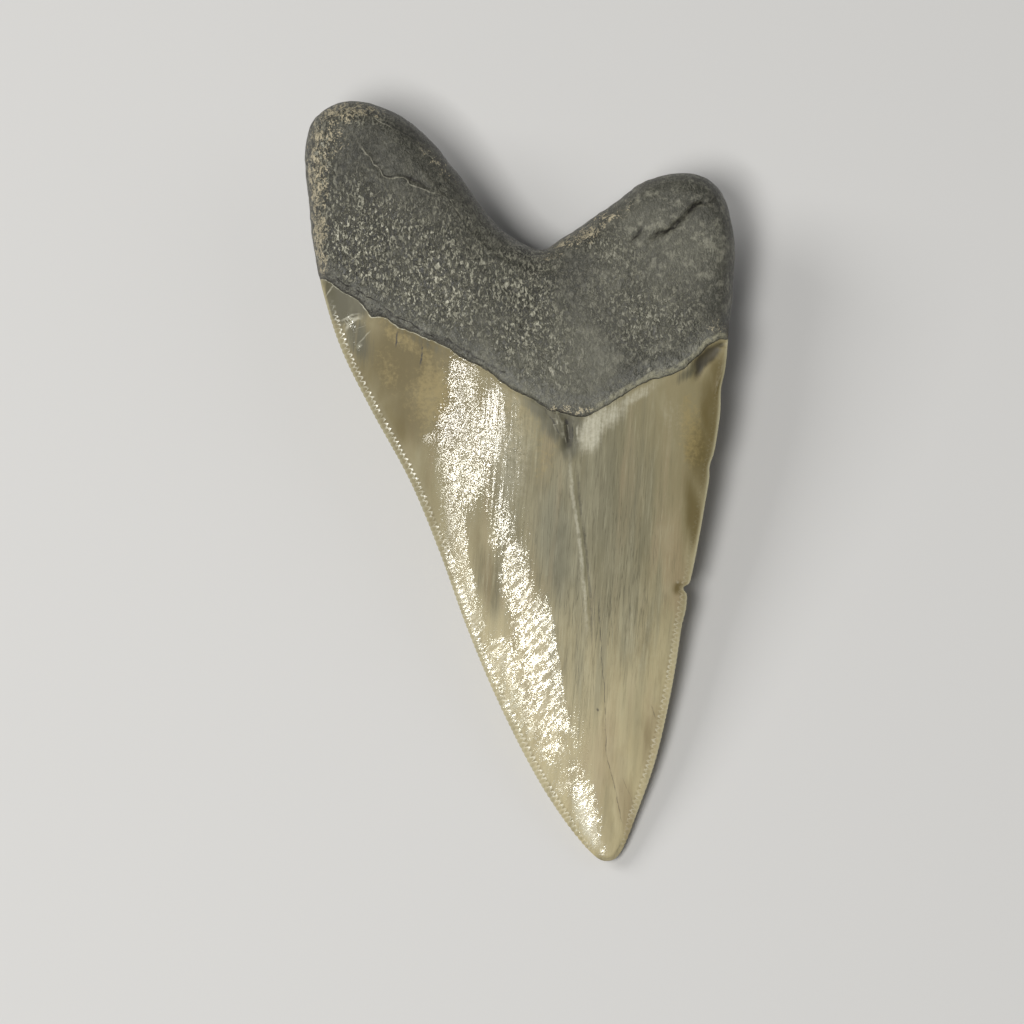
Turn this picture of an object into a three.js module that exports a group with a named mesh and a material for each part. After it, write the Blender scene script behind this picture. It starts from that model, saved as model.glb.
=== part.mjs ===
// A large fossil shark tooth, lying on its convex tongue-side face with its flat lip-side face up.
// Root and crown grew as one body, so the model is one closed solid.
//
// The tooth is drawn in the plane of its flat face: x runs across, y from the tip up to the lobes
// of the root, and z out of the flat face. It is then pitched to the attitude in which it rests,
// and moved so that the origin is the bottom centre of its box. Millimetres, +Z up.

import * as THREE from 'three';
import { mergeVertices } from 'three/addons/utils/BufferGeometryUtils.js';

const { lerp, smoothstep, degToRad } = THREE.MathUtils;

// ---------------------------------------------------------------- driving dimensions

// The outline, as [x, y] points that a smooth curve joins: tip, left side, root, right side.
const LEFT_EDGE = [[10.6, -55.8], [6.3, -50.5], [1.8, -43.3], [-3.6, -32.5], [-8.1, -21.7],
  [-12.0, -10.9], [-16.5, -0.1], [-22.4, 10.7], [-26.8, 19.7], [-29.7, 28.8]];
const LEFT_LOBE = [[-31.2, 36.0], [-31.9, 43.0], [-32.4, 49.4], [-30.6, 54.6]];
const LOBE_TOPS = [[-24.8, 57.1], [-17.2, 54.3], [-10.0, 46.7], [-4.4, 39.2], [0.2, 35.7],
  [3.4, 34.7], [6.4, 36.3], [12.4, 40.3], [18.9, 44.9], [25.2, 46.1], [30.2, 43.6]];
const RIGHT_LOBE = [[32.3, 37.0], [32.2, 28.7], [31.3, 22.4]];
const RIGHT_EDGE = [[30.6, 15.0], [29.5, 6.6], [28.0, -1.9], [26.4, -10.9], [24.6, -19.5],
  [22.8, -30.7], [20.4, -41.5], [17.6, -49.6], [15.1, -55.7]];
const TIP = [[13.0, -57.1]];

// Where the enamel ends and the root begins on the outer face, from left to right.
const ENAMEL_LINE = [[-24.0, 26.6], [-15.6, 22.0], [-8.1, 18.2], [-2.4, 14.5], [3.3, 10.6],
  [7.2, 9.2], [10.6, 9.4], [18.3, 13.4], [24.8, 16.9]];

// The border, between the outline and the two faces.
const CUTTING_EDGE_WIDTH = 1.8;
const TIP_EDGE_WIDTH = 0.6;
const TIP_LENGTH = 0.15;            // part of the crown over which the edge narrows to the tip
const ROOT_ROUNDING = 3.6;
const ROOT_EDGE_LEVEL = -5.0;       // height of the widest line round the root; the crown's is 0

// The outer face: height inside the border, and how far the middle stands above that.
const OUTER_CROWN_HEIGHT = 0.35;
const OUTER_TIP_CAMBER = 0.4;
const OUTER_CROWN_CAMBER = 2.2;
const OUTER_ROOT_HEIGHT = 1.0;
const OUTER_ROOT_CAMBER = 2.2;

// The inner face: depth inside the border, and how far the middle bulges below that.
const INNER_CROWN_DEPTH = 1.3;
const INNER_TIP_BELLY = 0.7;
const INNER_CROWN_BELLY = 14.5;
const INNER_ROOT_DEPTH = 9.5;
const INNER_ROOT_BELLY = 6.5;
const BELLY_TAPER = 0.9;            // below 1, the crown thickens early from the tip
const BELLY_ROUNDNESS = 0.8;        // below 1, the belly is fuller than a parabola

// The swelling in the middle of the root, which is worn flat where the tooth rests on it.
const BOSS = { x: 4.0, y: 20.0, halfWidth: 14.0, halfLength: 10.0, height: 5.0 };
const SEAT_DEPTH = 18.6;

const REST_PITCH = 11.9;            // degrees about x: the tip lies lower than the root

// Facets: across the tooth, along the crown, along the root and round the border.
const COLUMNS = 26;
const CROWN_ROWS = 34;
const ROOT_ROWS = 14;
const BORDER_RINGS = 6;

// ---------------------------------------------------------------- outline

const outlinePoints = [
  ...LEFT_EDGE, ...LEFT_LOBE, ...LOBE_TOPS, ...RIGHT_LOBE, ...RIGHT_EDGE, ...TIP,
];
const outline = new THREE.CatmullRomCurve3(
  outlinePoints.map(([x, y]) => new THREE.Vector3(x, y, 0)), true, 'catmullrom', 0.5);
const STEPS_PER_POINT = 40;
outline.arcLengthDivisions = outlinePoints.length * STEPS_PER_POINT;
const lengthsAlong = outline.getLengths();

/** How far round the outline, from 0 to 1, the point with this index lies. */
function stationOf(index) {
  return lengthsAlong[index * STEPS_PER_POINT] / lengthsAlong[lengthsAlong.length - 1];
}

const leftShoulderIndex = LEFT_EDGE.length - 1;
const leftCornerIndex = leftShoulderIndex + LEFT_LOBE.length;
const rightCornerIndex = leftCornerIndex + LOBE_TOPS.length;
const rightShoulderIndex = rightCornerIndex + RIGHT_LOBE.length;
const rightTipIndex = rightShoulderIndex + RIGHT_EDGE.length;

const station = {
  leftTip: 0,
  leftShoulder: stationOf(leftShoulderIndex),
  leftCorner: stationOf(leftCornerIndex),
  rightCorner: stationOf(rightCornerIndex),
  rightShoulder: stationOf(rightShoulderIndex),
  rightTip: stationOf(rightTipIndex),
  end: 1,
};

// A place on the tooth is a side, from -1 at the left to 1 at the right, and a row, which is
// 0 at the tip, 1 where the enamel ends and 2 at the top of the root.

/** How far round the outline a place on the tooth's border lies. */
function borderStation(side, row) {
  const across = (side + 1) / 2;
  if (side === -1 && row <= 1) return lerp(station.leftTip, station.leftShoulder, row);
  if (side === -1) return lerp(station.leftShoulder, station.leftCorner, row - 1);
  if (side === 1 && row <= 1) return lerp(station.rightTip, station.rightShoulder, row);
  if (side === 1) return lerp(station.rightShoulder, station.rightCorner, row - 1);
  if (row === 0) return lerp(station.end, station.rightTip, across);
  return lerp(station.leftCorner, station.rightCorner, across);
}

// ---------------------------------------------------------------- border

/** 0 where the border is a cutting edge, 1 where it is the rounded border of the root. */
function rootness(row) {
  return smoothstep(row, 0.95, 1.12);
}

function borderWidth(row) {
  const cuttingEdge = lerp(TIP_EDGE_WIDTH, CUTTING_EDGE_WIDTH, smoothstep(row, 0, TIP_LENGTH));
  return lerp(cuttingEdge, ROOT_ROUNDING, rootness(row));
}

/** A point of the border in plan, from the outline at reach 0 to the faces at reach 1. */
function borderPlan(side, row, reach) {
  const place = borderStation(side, row);
  const tangent = outline.getTangentAt(place);
  const inward = new THREE.Vector3(tangent.y, -tangent.x, 0);
  return outline.getPointAt(place).addScaledVector(inward, borderWidth(row) * reach);
}

// ---------------------------------------------------------------- faces

const leftShoulder = borderPlan(-1, 1, 1);
const rightShoulder = borderPlan(1, 1, 1);
const enamelLine = new THREE.CatmullRomCurve3(
  [leftShoulder, ...ENAMEL_LINE.map(([x, y]) => new THREE.Vector3(x, y, 0)), rightShoulder]);

/** How far a point has left the straight line from left to right, at this side of the tooth. */
function bend(point, left, right, side) {
  return point.clone().sub(left.clone().lerp(right, (side + 1) / 2));
}

/** A point of the faces in plan: rows bend from the tip to the enamel line and the lobes. */
function facePlan(side, row) {
  if (Math.abs(side) === 1 || row === 0 || row === 2) return borderPlan(side, row, 1);
  const left = borderPlan(-1, row, 1);
  const right = borderPlan(1, row, 1);
  const point = left.clone().lerp(right, (side + 1) / 2);
  const enamel = enamelLine.getPointAt((side + 1) / 2);
  const enamelBend = bend(enamel, leftShoulder, rightShoulder, side);
  const end = row < 1 ? 0 : 2;
  const endBend = bend(
    borderPlan(side, end, 1), borderPlan(-1, end, 1), borderPlan(1, end, 1), side);
  const endShare = Math.abs(row - 1);
  const enamelShare = row < 1 ? row * row : 1 - endShare;
  return point.addScaledVector(enamelBend, enamelShare).addScaledVector(endBend, endShare);
}

/** 1 along the middle of the crown and in the middle of the root, 0 at the border. */
function domeCrown(side) {
  return 1 - side * side;
}

function domeRoot(side, row) {
  return (1 - side * side) * (1 - Math.max(row - 1, 0) ** 2);
}

function outerHeight(side, row) {
  const camber = lerp(OUTER_TIP_CAMBER, OUTER_CROWN_CAMBER, Math.min(row, 1));
  const crown = OUTER_CROWN_HEIGHT + camber * domeCrown(side);
  const root = OUTER_ROOT_HEIGHT + OUTER_ROOT_CAMBER * domeRoot(side, row);
  return lerp(crown, root, rootness(row));
}

function innerHeight(side, row, x, y) {
  const belly = lerp(INNER_TIP_BELLY, INNER_CROWN_BELLY, Math.min(row, 1) ** BELLY_TAPER);
  const crown = INNER_CROWN_DEPTH + belly * domeCrown(side) ** BELLY_ROUNDNESS;
  const root = INNER_ROOT_DEPTH + INNER_ROOT_BELLY * domeRoot(side, row);
  const away = Math.hypot((x - BOSS.x) / BOSS.halfWidth, (y - BOSS.y) / BOSS.halfLength);
  const depth = lerp(crown, root, rootness(row)) + BOSS.height * Math.exp(-(away ** 3));
  const seat = SEAT_DEPTH + (y - BOSS.y) * Math.tan(degToRad(REST_PITCH));
  return -Math.min(depth, seat);
}

/** A point of the surface. layer is 1 on the outer face, 0 on the outline, -1 on the inner. */
function surfacePoint(side, row, layer) {
  const inside = facePlan(side, row);
  const face = layer > 0 ? outerHeight(side, row) : innerHeight(side, row, inside.x, inside.y);
  const reach = Math.abs(layer);
  if (reach === 1) return inside.setZ(face);
  const round = rootness(row);
  const quarterTurn = reach * Math.PI / 2;
  const point = borderPlan(side, row, lerp(reach, 1 - Math.cos(quarterTurn), round));
  return point.setZ(lerp(ROOT_EDGE_LEVEL * round, face, lerp(reach, Math.sin(quarterTurn), round)));
}

// ---------------------------------------------------------------- solid

/** A box with a fine net of facets, whose corners are moved on to the tooth's surface. */
function toothGeometry() {
  const rows = CROWN_ROWS + ROOT_ROWS;
  const net = new THREE.BoxGeometry(2, rows, 2, COLUMNS, rows, BORDER_RINGS);
  net.deleteAttribute('normal');
  net.deleteAttribute('uv');
  const geometry = mergeVertices(net);
  const position = geometry.attributes.position;
  for (let i = 0; i < position.count; i += 1) {
    const count = Math.round(position.getY(i) + rows / 2);
    const pastEnamel = count - CROWN_ROWS;
    const row = pastEnamel <= 0 ? count / CROWN_ROWS : 1 + pastEnamel / ROOT_ROWS;
    const point = surfacePoint(position.getX(i), row, position.getZ(i));
    position.setXYZ(i, point.x, point.y, point.z);
  }
  geometry.computeVertexNormals();
  return geometry;
}

const fossil = new THREE.MeshStandardMaterial({ color: 0x6f6a55, roughness: 0.4, metalness: 0 });
const tooth = new THREE.Mesh(toothGeometry(), fossil);
tooth.name = 'tooth';
tooth.rotation.x = degToRad(REST_PITCH);

const group = new THREE.Group();
group.add(tooth);
group.updateMatrixWorld(true);
const box = new THREE.Box3().setFromObject(group, true);
group.position.set(-(box.min.x + box.max.x) / 2, -(box.min.y + box.max.y) / 2, -box.min.z);

export default group;
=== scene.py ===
"""A large fossil shark tooth, lying on its convex tongue-side face with its flat lip-side face up.

The tooth is one piece. It is modelled in the plane of its flat face, in millimetres: x runs across,
y from the tip up to the lobes of the root, and z out of the flat face. A box with a fine net of
facets is shaped on to the tooth's surface, the serrations, enamel step, cracks and grain are worked
into the mesh, and the finished piece is pitched to the attitude in which it rests.
"""

import logging
import math
from collections.abc import Callable
from dataclasses import dataclass, field

import bmesh
import bpy
import numpy as np
from mathutils import Matrix, Vector, noise


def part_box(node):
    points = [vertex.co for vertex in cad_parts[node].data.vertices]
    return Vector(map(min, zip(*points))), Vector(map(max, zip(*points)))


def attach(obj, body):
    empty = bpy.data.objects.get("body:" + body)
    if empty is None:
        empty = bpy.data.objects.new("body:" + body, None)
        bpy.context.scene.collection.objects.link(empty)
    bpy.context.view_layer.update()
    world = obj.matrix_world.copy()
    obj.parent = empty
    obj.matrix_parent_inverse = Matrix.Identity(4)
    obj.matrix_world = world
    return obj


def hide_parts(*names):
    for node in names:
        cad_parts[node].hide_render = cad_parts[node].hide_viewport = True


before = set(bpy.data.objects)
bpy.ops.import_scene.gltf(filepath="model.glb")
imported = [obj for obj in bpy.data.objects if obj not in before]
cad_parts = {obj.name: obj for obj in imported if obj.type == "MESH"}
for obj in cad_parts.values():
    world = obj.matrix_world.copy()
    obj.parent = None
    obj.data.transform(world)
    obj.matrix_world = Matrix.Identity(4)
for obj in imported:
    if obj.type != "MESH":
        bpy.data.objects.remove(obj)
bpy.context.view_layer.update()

LOG = logging.getLogger("tooth")
NODE = "tooth"
MM = 0.001
REST_PITCH = math.radians(11.9)

Array = np.ndarray
Point = tuple[float, float]
Colour = tuple[float, float, float]


# ------------------------------------------------------------------ numbers


def lerp(start: Array | float, end: Array | float, share: Array | float) -> Array | float:
    """Return the value at `share` of the way from start to end."""
    return start + (end - start) * share


def smoothstep(value: Array, low: float, high: float) -> Array:
    """Return 0 below low, 1 above high and a smooth rise between."""
    share = np.clip((value - low) / (high - low), 0.0, 1.0)
    return share * share * (3.0 - 2.0 * share)


def bell(value: Array, width: float) -> Array:
    """Return 1 at zero, falling off smoothly over `width`."""
    return np.exp(-((value / width) ** 2))


def noise_field(points: Array, grain: tuple[float, float, float], seed: float,
                octaves: int = 3) -> Array:
    """Return smooth noise, about -1 to 1, at each point.

    Args:
        points: Places in millimetres, one row each.
        grain: Size of the noise's features along x, y and z.
        seed: Shifts the pattern, so that two fields differ.
        octaves: How many finer layers are added.

    Returns:
        One value for each point.
    """
    scaled = points / np.array(grain) + seed
    return np.array([noise.fractal(Vector(p), 1.0, 2.0, octaves) for p in scaled])


# ------------------------------------------------------------------ curves


class SmoothCurve:
    """A smooth curve through points of the plane, read by distance along it, from 0 to 1."""

    STEPS = 120

    def __init__(self, points: list[Point], closed: bool) -> None:
        """Work out the curve.

        Args:
            points: The points it passes through, in order.
            closed: Whether it returns to its first point.
        """
        control = np.array(points, float)
        if closed:
            before, start = np.roll(control, 1, 0), control
            end, after = np.roll(control, -1, 0), np.roll(control, -2, 0)
        else:
            lead_in, lead_out = 2 * control[0] - control[1], 2 * control[-1] - control[-2]
            padded = np.vstack([lead_in, control, lead_out])
            before, start, end, after = padded[:-3], padded[1:-2], padded[2:-1], padded[3:]
        t = (np.arange(self.STEPS) / self.STEPS)[None, :, None]
        before, start, end, after = (p[:, None, :] for p in (before, start, end, after))
        path = 0.5 * (2 * start + (end - before) * t
                      + (2 * before - 5 * start + 4 * end - after) * t ** 2
                      + (3 * start - before - 3 * end + after) * t ** 3)
        path = path.reshape(-1, 2)
        self.path = np.vstack([path, control[0] if closed else control[-1]])
        steps = np.hypot(*np.diff(self.path, axis=0).T)
        self.length = float(steps.sum())
        self.stations = np.concatenate([[0.0], np.cumsum(steps)]) / self.length
        self.slope = np.gradient(self.path, self.stations, axis=0)

    def station_of(self, index: int) -> float:
        """Return how far along the curve the point with this index lies."""
        return float(self.stations[index * self.STEPS])

    def place(self, station: Array) -> Array:
        """Return the curve's points at these stations."""
        return np.stack([np.interp(station, self.stations, c) for c in self.path.T], axis=-1)

    def direction(self, station: Array) -> Array:
        """Return the curve's unit tangents at these stations."""
        slope = np.stack([np.interp(station, self.stations, c) for c in self.slope.T], axis=-1)
        return slope / np.linalg.norm(slope, axis=-1, keepdims=True)


@dataclass(frozen=True)
class SurfaceLine:
    """A crack, ridge or groove that follows a line across the flat face."""

    points: tuple[Point, ...]
    half_width: float = 0.3
    depth: float = 0.0
    taper: float = 1.2
    shade: float = 1.0

    def offsets(self, x: Array, y: Array) -> tuple[Array, Array]:
        """Measure from the line.

        Args:
            x: Places across the tooth.
            y: Places along the tooth.

        Returns:
            The signed distance to the line's left, and a strength that is 1 along the line and
            runs out to 0 past its ends.
        """
        nearest = np.full(x.shape, np.inf)
        signed = np.zeros(x.shape)
        strength = np.zeros(x.shape)
        last = len(self.points) - 2
        for index, (start, end) in enumerate(zip(self.points, self.points[1:])):
            length = math.dist(start, end)
            ux, uy = (end[0] - start[0]) / length, (end[1] - start[1]) / length
            along = (x - start[0]) * ux + (y - start[1]) * uy
            across = (y - start[1]) * ux - (x - start[0]) * uy
            outside = np.maximum(np.maximum(-along, along - length), 0.0)
            distance = np.hypot(across, outside)
            near = distance < nearest
            nearest = np.where(near, distance, nearest)
            signed = np.where(near, np.copysign(distance, across), signed)
            inside = np.full(x.shape, self.taper)
            if index == 0:
                inside = np.minimum(inside, along)
            if index == last:
                inside = np.minimum(inside, length - along)
            strength = np.where(near, np.clip(inside / self.taper, 0.0, 1.0), strength)
        return signed, strength


# ------------------------------------------------------------------ the tooth's form


@dataclass(frozen=True)
class ToothPlan:
    """The tooth seen square on to its flat face.

    A place on the tooth is a side, from -1 at the left to 1 at the right, and a row, which is 0 at
    the tip, 1 where the enamel ends and 2 at the top of the root.
    """

    left_edge: tuple[Point, ...] = (
        (10.6, -55.8), (6.3, -50.5), (1.8, -43.3), (-3.6, -32.5), (-8.1, -21.7),
        (-12.0, -10.9), (-16.5, -0.1), (-22.4, 10.7), (-26.8, 19.7), (-29.7, 28.8))
    left_lobe: tuple[Point, ...] = ((-31.2, 36.0), (-31.9, 43.0), (-32.4, 49.4), (-30.6, 54.6))
    lobe_tops: tuple[Point, ...] = (
        (-24.8, 57.1), (-17.2, 54.3), (-10.0, 46.7), (-4.4, 39.2), (0.2, 35.7), (3.4, 34.7),
        (6.4, 36.3), (12.4, 40.3), (18.9, 44.9), (25.2, 46.1), (30.2, 43.6))
    right_lobe: tuple[Point, ...] = ((32.3, 37.0), (32.2, 28.7), (31.3, 22.4))
    right_edge: tuple[Point, ...] = (
        (30.6, 15.0), (29.5, 6.6), (28.0, -1.9), (26.4, -10.9), (24.6, -19.5),
        (22.8, -30.7), (20.4, -41.5), (17.6, -49.6), (15.1, -55.7))
    tip: tuple[Point, ...] = ((13.0, -57.1),)
    enamel_line: tuple[Point, ...] = (
        (-24.0, 26.6), (-15.6, 22.0), (-8.1, 18.2), (-2.4, 14.5), (3.3, 10.6), (7.2, 9.2),
        (10.6, 9.4), (18.3, 13.4), (24.8, 16.9))
    cutting_edge_width: float = 1.8
    tip_edge_width: float = 0.6
    tip_length: float = 0.15
    root_rounding: float = 3.6
    outline: SmoothCurve = field(init=False)
    enamel: SmoothCurve = field(init=False)
    stations: dict[str, float] = field(init=False)

    def __post_init__(self) -> None:
        """Work out the curves from their points."""
        runs = (self.left_edge, self.left_lobe, self.lobe_tops, self.right_lobe, self.right_edge)
        outline = SmoothCurve([p for run in (*runs, self.tip) for p in run], closed=True)
        object.__setattr__(self, "outline", outline)
        names = ("left_shoulder", "left_corner", "right_corner", "right_shoulder", "right_tip")
        stations, index = {}, -1
        for name, run in zip(names, runs):
            index += len(run)
            stations[name] = outline.station_of(index)
        object.__setattr__(self, "stations", stations)
        left, right = self.border(np.array([-1.0, 1.0]), np.ones(2), np.ones(2))
        enamel = SmoothCurve([tuple(left), *self.enamel_line, tuple(right)], closed=False)
        object.__setattr__(self, "enamel", enamel)

    def border_station(self, side: Array, row: Array) -> Array:
        """Find how far round the outline these places on the border lie.

        Args:
            side: Places across, -1 to 1.
            row: Places along, 0 to 2.

        Returns:
            Distances along the outline, 0 to 1.
        """
        s = self.stations
        across = (side + 1.0) / 2.0
        up_left = np.where(row <= 1.0, lerp(0.0, s["left_shoulder"], row),
                           lerp(s["left_shoulder"], s["left_corner"], row - 1.0))
        up_right = np.where(row <= 1.0, lerp(s["right_tip"], s["right_shoulder"], row),
                            lerp(s["right_shoulder"], s["right_corner"], row - 1.0))
        over_top = lerp(s["left_corner"], s["right_corner"], across)
        round_tip = lerp(1.0, s["right_tip"], across)
        ends = np.where(row == 0.0, round_tip, over_top)
        return np.where(side == -1.0, up_left, np.where(side == 1.0, up_right, ends))

    def rootness(self, row: Array) -> Array:
        """Return 0 where the border is a cutting edge and 1 where it is the root's."""
        return smoothstep(row, 0.95, 1.12)

    def border_width(self, row: Array) -> Array:
        """Return how wide the border is, in plan."""
        edge = lerp(self.tip_edge_width, self.cutting_edge_width,
                    smoothstep(row, 0.0, self.tip_length))
        return lerp(edge, self.root_rounding, self.rootness(row))

    def inward(self, station: Array) -> Array:
        """Return the unit directions square to the outline, into the tooth."""
        tangent = self.outline.direction(station)
        return np.stack([tangent[:, 1], -tangent[:, 0]], axis=-1)

    def border(self, side: Array, row: Array, reach: Array) -> Array:
        """Place points of the border.

        Args:
            side: Places across, -1 to 1.
            row: Places along, 0 to 2.
            reach: Places over the border, from the outline at 0 to the faces at 1.

        Returns:
            Their x and y.
        """
        station = self.border_station(side, row)
        width = self.border_width(row) * reach
        return self.outline.place(station) + self.inward(station) * width[:, None]

    def face(self, side: Array, row: Array) -> Array:
        """Place points of the faces: rows bend from the tip to the enamel line and the lobes.

        Args:
            side: Places across, -1 to 1.
            row: Places along, 0 to 2.

        Returns:
            Their x and y.
        """
        one = np.ones_like(row)
        across = ((side + 1.0) / 2.0)[:, None]

        def straight(at: Array) -> Array:
            """Return places on straight rows between the left border and the right."""
            return lerp(self.border(-one, at, one), self.border(one, at, one), across)

        enamel_bend = self.enamel.place((side + 1.0) / 2.0) - straight(one)
        end = np.where(row < 1.0, 0.0, 2.0)
        end_bend = self.border(side, end, one) - straight(end)
        end_share = np.abs(row - 1.0)
        enamel_share = np.where(row < 1.0, row * row, 1.0 - end_share)
        inside = (straight(row) + enamel_bend * enamel_share[:, None]
                  + end_bend * end_share[:, None])
        on_border = (np.abs(side) == 1.0) | (row == 0.0) | (row == 2.0)
        return np.where(on_border[:, None], self.border(side, row, one), inside)


@dataclass
class Skin:
    """The tooth's surface as points, and what each point knows of its place."""

    side: Array
    row: Array
    layer: Array
    points: Array
    ragged: Array
    root_side: Array
    edge_distance: Array

    @property
    def x(self) -> Array:
        """Places across the flat face, shaken a little so that marks follow them raggedly."""
        return self.ragged[:, 0]

    @property
    def y(self) -> Array:
        """Places along the flat face, shaken a little."""
        return self.ragged[:, 1]

    @property
    def outer(self) -> Array:
        """1 on the flat face, 0 on the convex one."""
        return smoothstep(self.layer, 0.0, 0.4)


@dataclass(frozen=True)
class ToothForm:
    """Heights of the two faces above the plane of the cutting edge."""

    plan: ToothPlan = field(default_factory=ToothPlan)
    root_edge_level: float = -5.0
    outer_crown_height: float = 0.35
    outer_tip_camber: float = 0.4
    outer_crown_camber: float = 2.2
    outer_root_height: float = 1.0
    outer_root_camber: float = 2.2
    lip_share: float = 0.35
    lip_width: float = 0.35
    collar_width: float = 4.5
    inner_crown_depth: float = 1.3
    inner_tip_belly: float = 0.7
    inner_crown_belly: float = 14.5
    inner_root_depth: float = 9.5
    inner_root_belly: float = 6.5
    belly_taper: float = 0.9
    belly_roundness: float = 0.8
    boss: Point = (4.0, 20.0)
    boss_half_width: float = 14.0
    boss_half_length: float = 10.0
    boss_height: float = 5.0
    seat_depth: float = 18.6
    crown_length: float = 75.0
    root_length: float = 30.0
    enamel_shake: float = 0.12
    root_shake: float = 0.45
    shake_grain: tuple[float, float, float] = (1.7, 1.7, 1.0)
    shake_seeds: Point = (41.0, 57.0)
    past_border: float = 3.0

    def dome(self, side: Array, row: Array) -> Array:
        """Return 1 in the middle of the root and 0 round its border."""
        return (1.0 - side ** 2) * (1.0 - np.maximum(row - 1.0, 0.0) ** 2)

    def outer(self, side: Array, row: Array, root_side: Array) -> Array:
        """Work out the height of the flat face, with the root's lip standing over the enamel.

        Args:
            side: Places across, -1 to 1.
            row: Places along, 0 to 2.
            root_side: How far past the enamel's end each place lies, in millimetres.

        Returns:
            Heights above the plane of the cutting edge.
        """
        camber = lerp(self.outer_tip_camber, self.outer_crown_camber, np.minimum(row, 1.0))
        crown = self.outer_crown_height + camber * (1.0 - side ** 2)
        root = self.outer_root_height + self.outer_root_camber * self.dome(side, row)
        lip = lerp(smoothstep(root_side, 0.0, self.collar_width),
                   smoothstep(root_side, 0.0, self.lip_width), self.lip_share)
        return lerp(crown, root, lip)

    def inner(self, side: Array, row: Array, plan: Array) -> Array:
        """Work out the height of the convex face, worn flat in the middle of the root.

        Args:
            side: Places across, -1 to 1.
            row: Places along, 0 to 2.
            plan: The same places in x and y.

        Returns:
            Heights above the plane of the cutting edge, all below it.
        """
        belly = lerp(self.inner_tip_belly, self.inner_crown_belly,
                     np.minimum(row, 1.0) ** self.belly_taper)
        crown = self.inner_crown_depth + belly * (1.0 - side ** 2) ** self.belly_roundness
        root = self.inner_root_depth + self.inner_root_belly * self.dome(side, row)
        away = np.hypot((plan[:, 0] - self.boss[0]) / self.boss_half_width,
                        (plan[:, 1] - self.boss[1]) / self.boss_half_length)
        swelling = self.boss_height * np.exp(-(away ** 3))
        depth = lerp(crown, root, self.plan.rootness(row)) + swelling
        return -np.minimum(depth, self.seat(plan))

    def seat(self, plan: Array) -> Array:
        """Return how deep the worn seat lies under these places."""
        return self.seat_depth + (plan[:, 1] - self.boss[1]) * math.tan(REST_PITCH)

    def skin(self, side: Array, row: Array, layer: Array) -> Skin:
        """Shape the tooth's smooth surface.

        Args:
            side: Places across, -1 to 1.
            row: Places along, 0 to 2.
            layer: Places through the thickness, from 1 on the flat face to -1 on the convex one.

        Returns:
            The surface, in millimetres, in the plane of the flat face.
        """
        reach = np.abs(layer)
        quarter_turn = reach * math.pi / 2
        root = self.plan.rootness(row)
        on_border = reach < 1.0
        border_reach = lerp(reach, 1.0 - np.cos(quarter_turn), root)
        border = self.plan.border(side, row, border_reach)
        face_plan = self.plan.face(side, row)
        plan = np.where(on_border[:, None], border, face_plan)

        flat = np.column_stack([plan, np.zeros(len(plan))])
        shake = [noise_field(flat, self.shake_grain, seed, 2) for seed in self.shake_seeds]
        shaken = lerp(self.enamel_shake, self.root_shake, smoothstep(row, 0.94, 1.02))
        ragged = plan + shaken[:, None] * np.column_stack(shake)
        past_edge, _ = ENAMEL_EDGE.offsets(*lerp(plan, ragged, 0.5).T)
        past_line = np.where(row > 1.0, (row - 1.0) * self.root_length,
                             (row - 1.0) * self.crown_length)
        root_side = lerp(past_line, past_edge, smoothstep(layer, -1.0, -0.2))

        face = np.where(layer > 0, self.outer(side, row, root_side),
                        self.inner(side, row, face_plan))
        rise = lerp(reach, np.sin(quarter_turn), root)
        height = np.where(on_border, lerp(self.root_edge_level * root, face, rise), face)
        on_rim = (np.abs(side) == 1.0) | (row == 0.0) | (row == 2.0)
        edge_distance = np.where(on_rim, reach * self.plan.border_width(row),
                                 self.past_border)
        points = np.column_stack([plan, height])
        return Skin(side, row, layer, points, ragged, root_side, edge_distance)


# ------------------------------------------------------------------ wear, stains, painted light and shade


@dataclass(frozen=True)
class Patch:
    """A soft-edged oval on the flat face."""

    FALL = 0.7
    STEEPNESS = 3.0

    x: float
    y: float
    half_width: float
    half_length: float
    lean: float = 0.0
    strength: float = 1.0

    def cover(self, x: Array, y: Array) -> Array:
        """Work out the patch's strength, where lean turns its top to the left.

        Args:
            x: Places across the tooth.
            y: Places along the tooth.

        Returns:
            The strength at each place.
        """
        angle = math.radians(self.lean)
        dx, dy = x - self.x, y - self.y
        across = (dx * math.cos(angle) + dy * math.sin(angle)) / self.half_width
        along = (dy * math.cos(angle) - dx * math.sin(angle)) / self.half_length
        away = (across ** 2 + along ** 2) ** (self.STEEPNESS / 2.0)
        return self.strength * np.exp(-away * self.FALL)


def patches(*rows: tuple[float, ...]) -> tuple[Patch, ...]:
    """Make patches, each from a row of its sizes in the order that Patch gives."""
    return tuple(Patch(*row) for row in rows)


def covered(spots: tuple[Patch, ...], x: Array, y: Array) -> Array:
    """Return the strength of the strongest of these patches at each place."""
    return np.max([patch.cover(x, y) for patch in spots], axis=0)


# Where the enamel ends, from left to right.
ENAMEL_EDGE = SurfaceLine((
    (-36.0, 30.6), (-29.4, 30.0), (-28.1, 29.3), (-26.6, 28.1), (-24.2, 26.9), (-23.4, 25.8),
    (-22.2, 24.2), (-21.3, 24.4), (-19.8, 24.1), (-19.1, 23.3), (-18.2, 22.6), (-17.2, 22.4),
    (-15.3, 21.8), (-14.0, 20.9), (-12.9, 20.7), (-10.8, 19.6), (-8.3, 18.0), (-5.7, 16.7),
    (-3.2, 14.9), (-1.0, 13.3), (1.5, 12.2), (3.2, 11.1), (4.5, 10.3), (6.9, 9.7), (9.7, 9.3),
    (11.7, 10.3), (14.4, 11.9), (17.0, 13.6), (19.7, 14.9), (22.5, 15.6), (24.2, 16.4),
    (26.2, 17.9), (27.8, 19.4), (28.5, 20.2), (30.0, 20.9), (36.0, 21.6)))
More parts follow.
